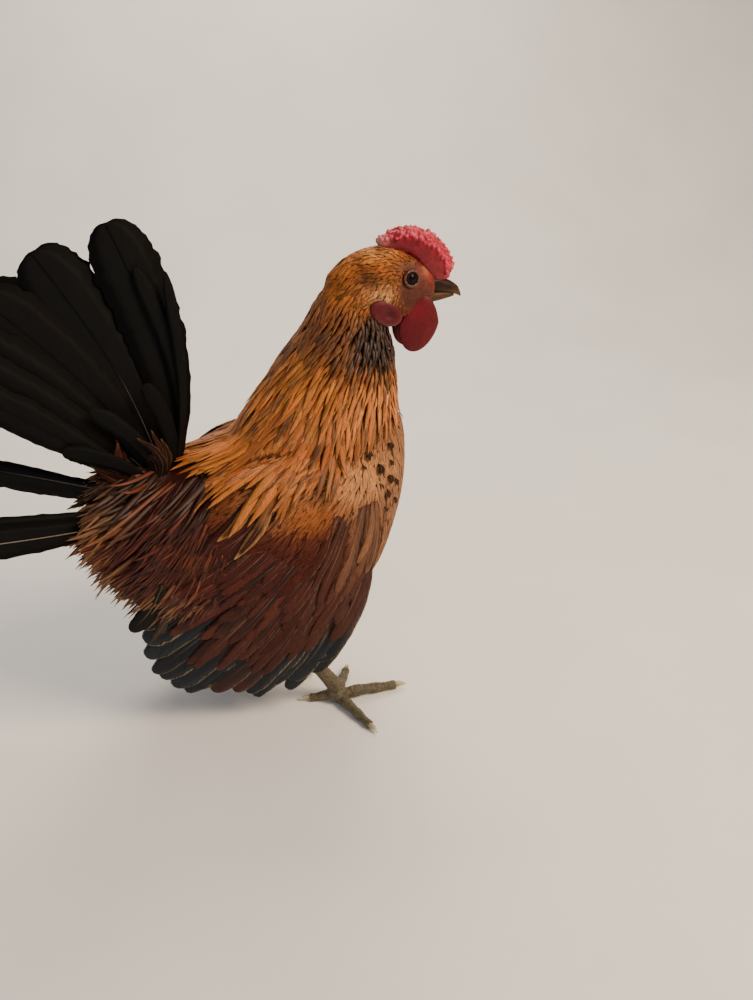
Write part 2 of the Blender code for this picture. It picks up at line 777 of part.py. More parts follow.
def make_tails():
    made = []
    for side, sign in SIDES:
        base = ellipsoid("tail_" + side, mirrored(TAIL_ROOT, sign), TAIL_BASE_SIZE, 12, 7, "plumage_black")
        vanes = [tail_vane(sign, feather, out) for layer, out in TAIL_LAYERS for feather in layer]
        union(base, vanes)
        middle = half_space("middle", Vector((-0.1, sign * GAP / 2, 0.15)), Vector((0, -sign, 0)))
        boolean(base, "DIFFERENCE", middle)
        made.append(base)
    return made


def add_saddle(torso, wings, tails):
    """Saddle and vent feathers, in tiers down the rump, over the rear of the wings."""
    rng = random.Random(5)
    home = surface_of(torso)
    ground = smooth_ground(torso, *wings)
    body = smooth_ground(torso)
    over_wing_and_tail = [surface_of(body) for body in wings + tails]
    over_tail = [surface_of(body) for body in tails]
    vanes = []
    for tier, (first, last, count, length, width, way) in enumerate(SADDLE):
        for k in range(count):
            share = (k + 0.5 * (tier % 2)) / count
            x, z = (a + (b - a) * share for a, b in zip(first, last))
            for side, sign in SIDES:
                root = Vector((x, sign * 60, z)) * MM
                hit = home.ray_cast(root, Vector((0, -sign, 0)))[0] or root * 0.3
                out, down = way[1] * rng.uniform(0.6, 1.4), way[2] * rng.uniform(0.85, 1.15)
                reach = length * rng.uniform(0.88, 1.12) * MM
                over_wing = tier < SADDLE_OVER_WING
                setting = (ground, over_wing_and_tail, 0.25) if over_wing else (body, over_tail, 0.0)
                points, normals = lie_along(
                    home, hit, Vector((way[0], sign * out, down)), reach, width * MM, 4, *setting
                )
                sizes = [width * MM * s for s in HACKLE_SHAPE]
                vanes.append(vane(points, normals, sizes, tilt=OVERLAP_TILT * sign))
    union(torso, vanes)
    return cut_clear(torso, *tails)


def hackle_root(z_back, z_front, turn):
    """A root point outside the neck at a turn from the back, in radians, towards the left side."""
    share = (1 - math.cos(turn)) / 2
    z = z_back + (z_front - z_back) * share
    levels, backs, fronts, halves = zip(*NECK)
    back, front, half = (np.interp(z, levels, row) for row in (backs, fronts, halves))
    middle, along = (back + front) / 2, (front - back) / 2
    return Vector((middle - along * math.cos(turn), half * math.sin(turn), z)) * MM


def add_hackle(neck, torso, head, wings, tails):
    """The neck's hackle, in tiers from the head down, the lowest spread as a cape over the shoulders."""
    rng = random.Random(3)
    home = surface_of(neck)
    ground = smooth_ground(neck, torso, head, *wings)
    over = [surface_of(body) for body in [torso] + wings]
    vanes = []
    for tier, (z_back, z_front, round_to, count, long, short, width) in enumerate(HACKLE):
        for k in range(count):
            share = (k + 0.5) / count
            turn = math.radians(round_to) * (2 * share - 1)
            rear = (1 + math.cos(turn)) / 2
            root = hackle_root(z_back, z_front, turn)
            way = Vector((-0.85 * rear - 0.12, 0.10 * math.sin(turn), -1.0))
            length = (short + (long - short) * rear) * rng.uniform(0.92, 1.08) * MM
            shape = SHORT_SHAPE if tier < SHORT_TIERS else HACKLE_SHAPE
            steps = len(shape) - 1
            points, normals = lie_along(home, root, way, length, width * MM, steps, ground, over, 0.5)
            size = width * MM * rng.uniform(0.92, 1.05)
            tilt = math.copysign(OVERLAP_TILT, turn)
            vanes.append(vane(points, normals, [size * s for s in shape], tilt=tilt))
    union(neck, vanes)
    point, up = head_plane()
    boolean(neck, "DIFFERENCE", half_space("above", point - up * GAP / 2, up))
    return cut_clear(neck, torso, *wings, *tails)


def along_loft(name, points, radii, sides, slot, squash=1.0):
    """A tapering limb through the points, each ring set across the limb."""
    rings = []
    for i, point in enumerate(points):
        before, after = points[max(i - 1, 0)], points[min(i + 1, len(points) - 1)]
        along = (after - before).normalized()
        across = along.cross(Vector((0, 0, 1)))
        across = across.normalized() if across.length > 0.2 else Vector((0, 1, 0))
        up = across.cross(along).normalized()
        rings.append([point + across * a + up * b * squash for a, b in oval(radii[i], radii[i], sides)])
    return loft(name, rings, None, None, slot)


def make_thighs(torso, wings):
    made = []
    for (side, sign), wing in zip(SIDES, wings):
        hock = HOCK[side]
        top = hock + Vector((7, 0, 38)) * MM
        points = [hock.lerp(top, t) for t in (0.08, 0.3, 0.6, 1.0)]
        thigh = along_loft("thigh_" + side, points, [r * MM for r in (5.4, 9, 14, 17)], 14, "plumage_gold")
        made.append(cut_clear(thigh, torso, wing))
    return made


def make_shanks(thighs):
    made = []
    for (side, sign), thigh in zip(SIDES, thighs):
        hock, ankle = HOCK[side], ANKLE[side]
        points, radii = [], []
        plates = 6
        for k in range(plates):
            points += [hock.lerp(ankle, k / plates), hock.lerp(ankle, (k + 0.85) / plates)]
            swell = 1.0 + 0.28 * (abs(2 * k / (plates - 1) - 1)) ** 3
            radii += [SHANK_RADIUS * swell * 0.93, SHANK_RADIUS * swell * 1.03]
        shank = along_loft("shank_" + side, points, radii, 9, "leg_scale")
        made.append(cut_clear(shank, thigh))
    return made


def toe_points(side, toe):
    """The middle line of one toe, from the ankle to where its claw begins."""
    name, turn, length, radius = toe
    heading = math.radians(FOOT_HEADING[side] + (turn if side == "right" else -turn))
    way = Vector((math.cos(heading), math.sin(heading), 0))
    start = ANKLE[side].copy()
    start.z = 4.2 * MM
    points = []
    for k in range(TOE_RINGS):
        t = k / (TOE_RINGS - 1)
        point = start + way * length * MM * t
        point.z = radius * MM * (0.95 - 0.25 * t) + 0.9 * MM * math.sin(math.pi * min(1.0, t * 1.2)) ** 2
        points.append(point)
    return points, way


def make_feet(shanks):
    feet, claws = [], []
    for (side, sign), shank in zip(SIDES, shanks):
        middle = ANKLE[side] - Vector((0, 0, 4.2)) * MM
        foot = ellipsoid("foot_" + side, middle, FOOT_SIZE, 12, 7, "leg_scale")
        toes = []
        for toe in TOES:
            points, way = toe_points(side, toe)
            taper = [1.05 - 0.3 * k / (TOE_RINGS - 1) for k in range(TOE_RINGS)]
            radii = [toe[3] * MM * t * (1.0, 0.9)[k % 2] for k, t in enumerate(taper)]
            toes.append(along_loft("toe", points, radii, 6, None))
            tip = points[-1]
            end = radii[-1]
            spine = [tip + way * (GAP + CLAW_LENGTH * t) for t in (0, 0.4, 0.8, 1.0)]
            spine = [p + Vector((0, 0, drop)) * MM for p, drop in zip(spine, (0.2, 0.5, -0.3, -0.8))]
            name = "claw_%s_%s" % (side, toe[0])
            claws.append(along_loft(name, spine, [end * s for s in CLAW_TAPER], 6, "horn"))
        union(foot, toes)
        boolean(foot, "DIFFERENCE", half_space("floor", Vector((0, 0, 0)), Vector((0, 0, -1))))
        feet.append(cut_clear(foot, shank))
        for claw in claws[-4:]:
            cut_clear(claw, foot)
    return feet, claws


def drop_grown_copies():
    for pieces in GROWN.values():
        for piece in pieces:
            bpy.data.objects.remove(piece)


def settle_origin():
    """Moves the whole bird so that the origin lies under the middle of its bounding box."""
    corners = [v.co for o in BIRD.objects for v in o.data.vertices]
    low = [min(c[k] for c in corners) for k in range(3)]
    high = [max(c[k] for c in corners) for k in range(3)]
    shift = Vector((-(low[0] + high[0]) / 2, -(low[1] + high[1]) / 2, -low[2]))
    for o in BIRD.objects:
        o.data.transform(Matrix.Translation(shift))
    return shift


def main():
    torso = make_torso()
    neck = make_neck()
    head = make_head()
    make_eyes()
    upper, lower = make_beak(head)
    make_comb(head, upper, lower)
    wings = make_wings()
    tails = make_tails()
    add_saddle(torso, wings, tails)
    for wing in wings:
        cut_clear(wing, torso)
    add_hackle(neck, torso, head, wings, tails)
    make_wattles(head, lower, neck)
    make_earlobes(head, neck)
    thighs = make_thighs(torso, wings)
    shanks = make_shanks(thighs)
    make_feet(shanks)
    drop_grown_copies()
    for o in BIRD.objects:
        shade(o)
    return settle_origin()


BIRD = clear_scene()
GROWN = {}
SHIFT = main()
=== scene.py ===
"""Dresses a packed bantam cockerel: skin, feathers, wings, tail, comb, wattles, eyes, beak and legs.

The bird is modelled in millimetres about the point on the floor between its feet, facing +X with its own
right side at -Y. Each mesh is moved into the frame's metres when it is finished.
"""

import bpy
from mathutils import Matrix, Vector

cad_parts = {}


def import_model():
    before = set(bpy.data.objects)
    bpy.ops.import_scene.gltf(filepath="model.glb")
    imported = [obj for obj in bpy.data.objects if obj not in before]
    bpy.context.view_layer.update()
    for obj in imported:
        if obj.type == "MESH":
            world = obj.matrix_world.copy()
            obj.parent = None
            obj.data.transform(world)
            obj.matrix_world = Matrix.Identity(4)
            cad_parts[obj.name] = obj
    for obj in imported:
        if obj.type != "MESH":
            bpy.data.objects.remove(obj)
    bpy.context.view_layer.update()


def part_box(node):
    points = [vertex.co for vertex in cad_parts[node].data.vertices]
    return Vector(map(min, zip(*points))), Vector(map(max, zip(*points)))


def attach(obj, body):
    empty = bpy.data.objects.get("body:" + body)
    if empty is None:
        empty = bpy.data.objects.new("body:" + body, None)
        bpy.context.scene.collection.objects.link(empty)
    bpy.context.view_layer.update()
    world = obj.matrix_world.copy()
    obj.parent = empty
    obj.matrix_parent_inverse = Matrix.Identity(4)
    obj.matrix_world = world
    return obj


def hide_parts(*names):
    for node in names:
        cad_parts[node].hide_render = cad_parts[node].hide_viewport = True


bl_info = {
    "name": "Bantam Cockerel Dresser",
    "version": (1, 0, 0),
    "blender": (4, 5, 0),
    "location": "3D View > Sidebar > Cockerel",
    "description": "Builds skin, feathers, comb, legs and stage round the solids of a bantam cockerel",
    "category": "Object",
}

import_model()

import math
import random
from functools import partial

import bmesh
import bpy
import numpy as np
from bpy.props import FloatProperty, FloatVectorProperty, IntProperty, PointerProperty
from mathutils import Matrix, Vector, geometry
from mathutils.bvhtree import BVHTree

MM = 0.001
SIDES = (("right", -1), ("left", 1))

# Body measures in millimetres. Torso: x, lowest and highest z, half width.
TORSO = (
    (44, 118, 160, 13), (39, 100, 167, 23), (28, 72, 171, 33), (12, 54, 171, 40), (-6, 45, 167, 44),
    (-26, 42, 161, 45), (-46, 47, 154, 42), (-64, 60, 148, 35), (-80, 80, 141, 24), (-91, 97, 133, 13),
)
# Neck: z, back and front x, half width.
NECK = (
    (150, -46, 43, 36), (162, -37, 43, 33), (176, -26, 41.5, 28.5), (190, -16, 40, 24),
    (204, -7, 38, 19.5), (218, 0, 35, 16), (230, 7, 31, 12),
)
# Head: x, lowest and highest z, half width.
HEAD = (
    (8, 212, 232, 9), (16, 205, 239.5, 12.3), (28, 203, 244.5, 13.5), (40, 206, 244.5, 13),
    (50, 210, 240.5, 10.8), (57, 214, 235, 8), (61, 217, 231, 5.5),
)
NAPE = np.array((4.0, 226.0))
THROAT = np.array((43.0, 203.0))
EYE = np.array((46.1, 8.9, 230.2))
EYE_AXIS = np.array((0.24, 1.0, 0.10)) / np.linalg.norm((0.24, 1.0, 0.10))
EYE_RADIUS = 3.6
# The lids are a ring round the eye: radius of the ring and of its roll.
LID_RING = 3.75
LID_ROLL = 0.72
# Comb: centre x and z, half height across that line and half width, back to front.
COMB = (
    (31.5, 247.4, 0.9, 0.9), (36, 246.8, 2.4, 2.8), (44, 248.0, 4.4, 4.8), (52, 246.4, 5.6, 5.8),
    (59, 241.4, 6.6, 5.8), (64.3, 234.4, 6.2, 5.0), (66, 227.4, 3.8, 3.4),
)
# How far the comb reaches down into the head.
COMB_SUNK = 1.5
# Beak: x, lowest and highest z, half width, base to tip.
BEAK_UPPER = (
    (54, 221.5, 230.8, 5.4), (57, 221.3, 230.0, 5.0), (64, 221.1, 228.6, 4.2), (70, 220.4, 226.2, 2.9),
    (74.5, 218.9, 223.0, 1.4), (76.0, 218.1, 219.8, 0.6),
)
BEAK_LOWER = (
    (53, 215.2, 222.0, 4.7), (56, 215.6, 222.0, 4.4), (63, 216.6, 221.9, 3.5), (69, 217.8, 221.2, 2.1),
    (72.2, 218.6, 220.0, 0.9),
)
NOSTRIL = np.array((62.6, 3.9, 225.6))
WATTLE = np.array((52.2, 6.9, 207.0))
WATTLE_SIZE = np.array((10.2, 1.7, 14.0))
EARLOBE = np.array((33.5, 12.0, 214.4))
EARLOBE_SIZE = np.array((9.2, 2.4, 6.0))
# Wing: how far its surface stands from the median plane by height, and how that shrinks by x.
WING_REACH = (
    (20, 34), (30, 37), (45, 42), (65, 46.5), (85, 49), (105, 49.5), (125, 46.5), (140, 41), (152, 33),
    (164, 22),
)
WING_TAPER = ((-105, 0.70), (-75, 0.86), (-50, 0.97), (-25, 1.0), (0, 0.965), (15, 0.88), (28, 0.74))
WING_ARM = (
    (17, 147), (26, 130), (25, 106), (13, 84), (-20, 76), (-47, 83), (-64, 103), (-65, 127), (-46, 143),
    (-18, 152),
)
# Flight feathers: roots from the wrist back and tips round the fan, as seen from the side.
FLIGHT_ROOTS = ((17, 103), (3, 102), (-14, 104), (-34, 112), (-50, 122))
FLIGHT_TIPS = (
    (-9, 40), (-19, 26), (-31, 20), (-44, 19), (-57, 21), (-70, 25),
    (-83, 28), (-92, 38), (-98, 53), (-99, 70), (-97, 86), (-93, 101),
)
# Covert tiers: roots, tips, how many, width, stand at the root and at the tip.
COVERT_TIERS = (
    (
        ((18, 112), (-14, 110), (-48, 124)), ((-6, 58), (-36, 42), (-66, 50), (-88, 80), (-88, 104)),
        34, 8, 1.6, 2.8,
    ),
    (
        ((19, 118), (-12, 118), (-46, 132)), ((2, 72), (-28, 58), (-56, 66), (-78, 90), (-78, 110)),
        40, 7, 2.2, 3.3,
    ),
    (
        ((21, 128), (-8, 126), (-42, 138)), ((10, 86), (-18, 74), (-44, 82), (-66, 100), (-68, 116)),
        44, 6, 2.8, 3.7,
    ),
)
TAIL_ROOT = np.array((-83.0, 5.6, 131.0))
# Tail feathers of one side: root, tip, stand of the tip from the median plane, width, forward bow.
TAIL_FEATHERS = (
    ((-75, 138), (-92, 259), 3.5, 26, 9), ((-80, 137), (-124, 248), 6.5, 27, 6),
    ((-81, 136), (-148, 232), 10.5, 27, 6), ((-83, 134), (-168, 221), 15.0, 26, 5),
    ((-85, 131), (-174, 213), 20.0, 23, 5), ((-86, 128), (-176, 206), 25.0, 16, 4),
    ((-86, 120), (-197, 138), 49.0, 12, 0), ((-85, 117), (-188, 133), 52.0, 14, -1),
)
# How much of each tail feather's pale shaft shows.
TAIL_SHAFTS = np.array((0.0, 0.36, 0.0, 0.36, 0.75, 0.0, 0.6, 0.95))
TAIL_SICKLES = (((-74, 138), (-82, 240), 5.0, 9, 10), ((-75, 137), (-69, 236), 7.0, 6, 6))
TAIL_COVERTS = (
    ((-78, 137), (-84, 188), 12.0, 9, 6), ((-82, 134), (-109, 178), 15.0, 9, 6),
    ((-84, 131), (-124, 160), 17.0, 9, 5),
)
CURLED_COVERTS = 20
# The soft outline of the saddle seen from the side; its feathers end inside it.
SADDLE_OUTLINE = (
    (-40, 158), (-70, 152), (-96, 145), (-114, 137), (-127, 124), (-130, 112), (-121, 98), (-107, 87),
    (-88, 79), (-70, 78), (-60, 88), (-53, 102), (-46, 118), (-40, 132),
)
# Dark marks on the buff of breast and shoulder, seen from the side: place and size.
BREAST_SPOTS = (
    (21, 149, 3.4), (31, 149.5, 3.4), (25.5, 141, 3.8), (32, 142, 2.6), (30, 134, 4.0), (24.5, 132, 2.6),
    (30, 126.5, 3.6), (34, 121, 2.8), (27, 119, 2.2), (16, 143, 2.0), (-12, 146, 2.8), (-3, 149, 2.0),
    (35, 131, 2.6),
)
HOCK = {"right": np.array((-21.0, -27.0, 43.0)), "left": np.array((-44.0, 24.0, 43.0))}
ANKLE = {"right": np.array((1.0, -28.0, 9.0)), "left": np.array((-25.0, 22.0, 9.0))}
FOOT_HEADING = {"right": 3.0, "left": 4.0}
# Toes: name, turn from the foot's heading, length, radius.
TOES = (("hallux", 165, 15, 3.0), ("inner", 62, 25, 3.1), ("middle", 0, 35, 3.4), ("outer", -70, 31, 3.1))
SHANK_RADIUS = 3.9
# The palm: its half sizes and how far its middle lies under the ankle.
PALM_SIZE = (6.4, 5.7, 4.9)
PALM_DROP = np.array((0, 0, 4.2))
CLAW_LENGTH = 6.5
# How far a plate stands out, as a share of the limb's radius.
PLATE_HEIGHT = 0.16
# The lowest that the scaled feet and claws may reach.
SOLE_LEVEL = 0.04

# How far the skin lies inside the solids, for the coat to fill.
TORSO_DEPTH = 2.6
NECK_DEPTH = 2.2
HEAD_DEPTH = 0.7
WING_DEPTH = 0.6

# The lie of the coat: a place seen from the side, how far it reaches, and which way feathers point there,
# as x, outwards and z.
LIE = (
    ((50, 243), 12, (-1.0, 0.0, 0.1)), ((30, 238), 12, (-1.0, 0.0, -0.3)),
    ((32, 222), 12, (-0.85, 0.0, -0.5)), ((42, 205), 12, (-0.55, 0.0, -0.8)),
    ((12, 215), 16, (-0.7, 0.0, -0.75)), ((40, 180), 24, (-0.1, 0.0, -1.0)),
    ((42, 135), 30, (-0.12, 0.0, -1.0)), ((28, 80), 28, (-0.5, 0.0, -0.85)),
    ((-20, 45), 34, (-0.95, 0.0, -0.3)), ((-72, 66), 24, (-0.75, 0.0, -0.7)),
    ((-30, 160), 34, (-1.0, 0.0, -0.25)), ((-76, 138), 22, (-0.9, 0.42, -0.35)),
    ((-84, 108), 20, (-0.92, 0.22, -0.4)), ((-8, 120), 36, (-0.72, 0.0, -0.7)),
    ((-45, 110), 30, (-0.85, 0.0, -0.5)),
)
# Marks of the plumage seen from the side, in the order in which they are laid: colour, place, reach and
# strength. The first lie on head and shoulder, the others on the wing alone.
COAT_MARKS = (
    ("throat", 27, 232.5, 7, 3.5, 0.9), ("orange", 36, 236, 14, 7, 0.4), ("gold", 28, 243, 16, 5, 0.55),
    ("tuft", 33, 225, 6.5, 4, 0.9), ("tuft", 34, 244, 12, 3.5, 0.45), ("orange", 24, 164, 12, 10, 0.5),
)
WING_MARKS = (
    ("orange", -14, 132, 14, 7, 0.5), ("buff", 10, 144, 20, 10, 1.0), ("orange", -4, 132, 16, 7, 0.8),
    ("breast", 19, 122, 9, 18, 0.7), ("throat", 10, 104, 12, 18, 0.25),
)
# Tones of the bare face: colour, place seen from the side, reach and strength.
FACE_TONES = (
    ("#A8724A", 49, 240.5, 6, 2.5, 0.9), ("#A8724A", 55.5, 235, 2.2, 4.5, 0.8),
    ("#4A2014", 46, 222.5, 9, 3.5, 0.6), ("#5E1210", 53, 214, 8, 5, 0.8), ("#5E1A14", 43, 213, 8, 4, 0.7),
)

# Feather shapes: pairs of place along the feather and share of its width.
BODY_SHAPE = ((0, 0.4), (0.2, 0.8), (0.5, 1.0), (0.72, 0.94), (1, 0.04))
LANCE_SHAPE = ((0, 0.5), (0.2, 0.85), (0.45, 1.0), (0.66, 0.84), (0.86, 0.46), (0.95, 0.22), (1, 0.04))
SOFT_SHAPE = ((0, 0.5), (0.3, 0.9), (0.6, 1.0), (0.76, 0.9), (1, 0.05))
FLIGHT_SHAPE = ((0, 0.4), (0.25, 0.85), (0.55, 1.0), (0.84, 0.98), (1, 0.05))
TAIL_SHAPE = ((0, 0.22), (0.15, 0.42), (0.3, 0.66), (0.58, 0.95), (0.8, 1.0), (1, 0.04))
QUILL_SHAPE = ((0, 1.0), (0.5, 0.7), (1, 0.2))

# Single feathers that stand out: root, tip, width, colour, shape, fray, strength of the fleck.
ODD_FEATHERS = (
    ((-86, 98), (-104, 71), 9.0, "#17140F", SOFT_SHAPE, 0.03, 0.0),
    ((-82, 90), (-97, 62), 5.0, "#3C2F26", LANCE_SHAPE, 0.4, 0.0),
    ((-30, 141), (-52, 112), 6.5, "#7A5030", LANCE_SHAPE, 0.06, 1.0),
    ((-37, 144), (-59, 121), 6.0, "#8A5626", LANCE_SHAPE, 0.06, 0.8),
)

# Points sampled on the skin, the size of one feather's patch on its map, the triangles that one coat
# must stay under, and tries at placing a bead on the comb.
SKIN_SAMPLES = 170000
PATCH = 0.003
MOST_TRIANGLES = 200000
BEAD_TRIES = 4000

# Lamps: name, place, size, power, colour.
LAMPS = (
    ("key", (0.75, -0.62, 0.95), 0.55, 20.0, "#FFE4C4"), ("fill", (-0.9, -0.8, 0.5), 1.4, 4.0, "#E6EEFF"),
    ("rim", (0.2, 0.8, 1.0), 0.7, 9.0, "#FFF0DC"),
)
LAMP_AIM = (0, 0, 0.12)
SKY_STRENGTH = 0.42
# Camera: place in bird millimetres, lens in millimetres, turn and downward pitch in degrees.
CAMERA_PLACE = (-78.1, -410.4, 307.0)
CAMERA_LENS = 30.6
CAMERA_SENSOR = 36.0
CAMERA_TURN = 15
CAMERA_PITCH = 25


def linear(code):
    """An sRGB hex colour as linear red, green and blue."""
    parts = [int(code[k : k + 2], 16) / 255 for k in (1, 3, 5)]
    return tuple(p / 12.92 if p <= 0.04045 else ((p + 0.055) / 1.055) ** 2.4 for p in parts)


def eye_shift():
    """Where the frame has put the bird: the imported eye's middle less its modelled place."""
    low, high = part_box("eye_right")
    return np.array((low + high) / 2) - EYE * np.array((1, -1, 1)) * MM


SHIFT = eye_shift()


def to_row(points):
    return np.asarray(points, float) * MM + SHIFT


def size_property(label, meaning, metres):
    return FloatProperty(name=label, description=meaning, default=metres, unit="LENGTH")


def count_property(label, meaning, count, least):
    return IntProperty(name=label, description=meaning, default=count, min=least)


def colour_property(label, meaning, code):
    return FloatVectorProperty(name=label, description=meaning, subtype="COLOR", default=linear(code))


class CockerelSettings(bpy.types.PropertyGroup):
    """Sizes and colours that a user would change."""

    hackle_length: size_property("Hackle Length", "Longest hackle feather", 0.044)
    hackle_width: size_property("Hackle Width", "Width of a long hackle feather", 0.0052)
    body_feather: size_property("Body Feather", "Length of a breast feather", 0.0135)
    saddle_length: size_property("Saddle Length", "Longest saddle feather", 0.046)
    flights: count_property("Flight Feathers", "Flight feathers on each wing", 20, 6)
    comb_bead: size_property("Comb Bead", "Radius of a bead on the comb", 0.0013)
    scutes: count_property("Shank Scutes", "Plates down the front of each shank", 15, 5)
    gold: colour_property("Hackle Gold", "Golden orange of the hackle", "#B56A28")
    orange: colour_property("Neck Orange", "Deeper orange of the neck", "#8A4A1C")
    fleck: colour_property("Fleck", "Dark centre of a feather", "#2A130A")
    throat: colour_property("Throat", "Brown feathers under the lobe", "#26140B")
    buff: colour_property("Shoulder Buff", "Pale patch on the shoulder", "#B98052")
    tuft: colour_property("Ear Tuft", "Pale tuft above the lobe", "#BC8A5C")
    breast: colour_property("Breast", "Front of the body", "#8E6446")
    bow: colour_property("Wing Bow", "Maroon on the wing", "#431912")
    wing_low: colour_property("Lower Wing", "Red brown coverts", "#44221A")
    slate: colour_property("Flight Slate", "Blue black of the flight feathers", "#1C2127")
    saddle: colour_property("Saddle Red", "Saddle and rump", "#4A1A10")
    fluff: colour_property("Vent Fluff", "Soft feathers of the belly and vent", "#4C382B")
    tail: colour_property("Tail Black", "Tail feathers", "#0B0A09")
    comb: colour_property("Comb Red", "Comb below its beads", "#B0102A")
    # The pink of the beads' tops is a painted highlight.
    comb_highlight: colour_property("Comb Pink", "Tops of the comb's beads", "#E24E6C")
    wattle: colour_property("Wattle Crimson", "Wattles", "#5C0E18")
    face: colour_property("Face Skin", "Bare skin of the face", "#512616")
    horn: colour_property("Beak Horn", "Pale edge and tip of the beak", "#66482C")
    leg: colour_property("Leg Scale", "Shanks and toes", "#5C523C")
    floor: colour_property("Floor", "Pale floor", "#F0EEEA")


def settings():
    return bpy.context.scene.cockerel


def colour(name):
    return np.array(getattr(settings(), name), float)


def unit(v):
    return v / np.maximum(np.linalg.norm(v, axis=-1, keepdims=True), 1e-9)


def above(value, start, run):
    """0 where a value is below start, 1 where it is a run above it, and a straight slope between."""
    return np.clip((value - start) / run, 0, 1)


def below(value, start, run):
    """0 where a value is above start, 1 where it is a run below it, and a straight slope between."""
    return np.clip((start - value) / run, 0, 1)


def mixed(a, b, share):
    """Two colours or rows of colours mixed by a share for each row."""
    share = np.clip(np.asarray(share, float), 0, 1)[..., None]
    return np.asarray(a) * (1 - share) + np.asarray(b) * share


def both(sign):
    """Turns a place or way given for the left side to the side of that sign."""
    return np.array((1, sign, 1))


# Materials

SMOOTH = dict(interpolation_type="SMOOTHSTEP")
TIMES = dict(operation="MULTIPLY")
MIXED = dict(data_type="RGBA")


def node(tree, kind, inputs=(), **values):
    """Adds a node with its settings, input values and links, and gives its outputs."""
    made = tree.nodes.new("ShaderNode" + kind)
    for key, value in values.items():
        setattr(made, key, value)
    for key, value in inputs.items() if isinstance(inputs, dict) else enumerate(inputs):
        if isinstance(value, bpy.types.NodeSocket):
            tree.links.new(value, made.inputs[key])
        else:
            made.inputs[key].default_value = value
    return made.outputs


def new_material(name, **constants):
    """A material with its shader, whose constant sockets are set on the shader itself."""
    made = bpy.data.materials.new(name)
    made.use_nodes = True
    tree = made.node_tree
    shader = tree.nodes["Principled BSDF"]
    for key, value in constants.items():
        shader.inputs[key.replace("_", " ")].default_value = value
    return made, tree, shader


def dress(tree, shader, shade, light, height=None, strength=0.0, distance=0.0):
    """Ends a material: its colour, made lighter and darker by a value, and its height as a bump."""
    grey = node(tree, "CombineColor", (light, light, light))[0]
    shade = node(tree, "Mix", {0: 1.0, 6: shade, 7: grey}, blend_type="MULTIPLY", **MIXED)[2]
    tree.links.new(shade, shader.inputs["Base Color"])
    if height:
        raised = node(tree, "Bump", {"Strength": strength, "Distance": distance, "Height": height})[0]
        tree.links.new(raised, shader.inputs["Normal"])


def barbs_of(add, place, number, spacing):
    """Irregular stripes along the barbs, which sweep from the shaft towards the tip, alike on both vanes."""
    vane = add("SeparateXYZ", (place,))
    out = add("Math", (vane[0], 0.0), operation="ABSOLUTE")[0]
    lag = add("Math", (out, 1.6), **TIMES)[0]
    sweep = add("Math", (vane[1], lag), operation="SUBTRACT")[0]
    sweep = add("Math", (sweep, 1 / spacing), **TIMES)[0]
    fork = add("Math", (out, 0.22), **TIMES)[0]
    own = add("Math", (number, 60.0), **TIMES)[0]
    spot = add("CombineXYZ", (sweep, fork, own))[0]
    fine = add("TexNoise", {"Vector": spot, "Scale": 1.0, "Detail": 2.0})[0]
    return fine, add("TexNoise", {"Vector": spot, "Scale": 0.3, "Detail": 1.0})[0]


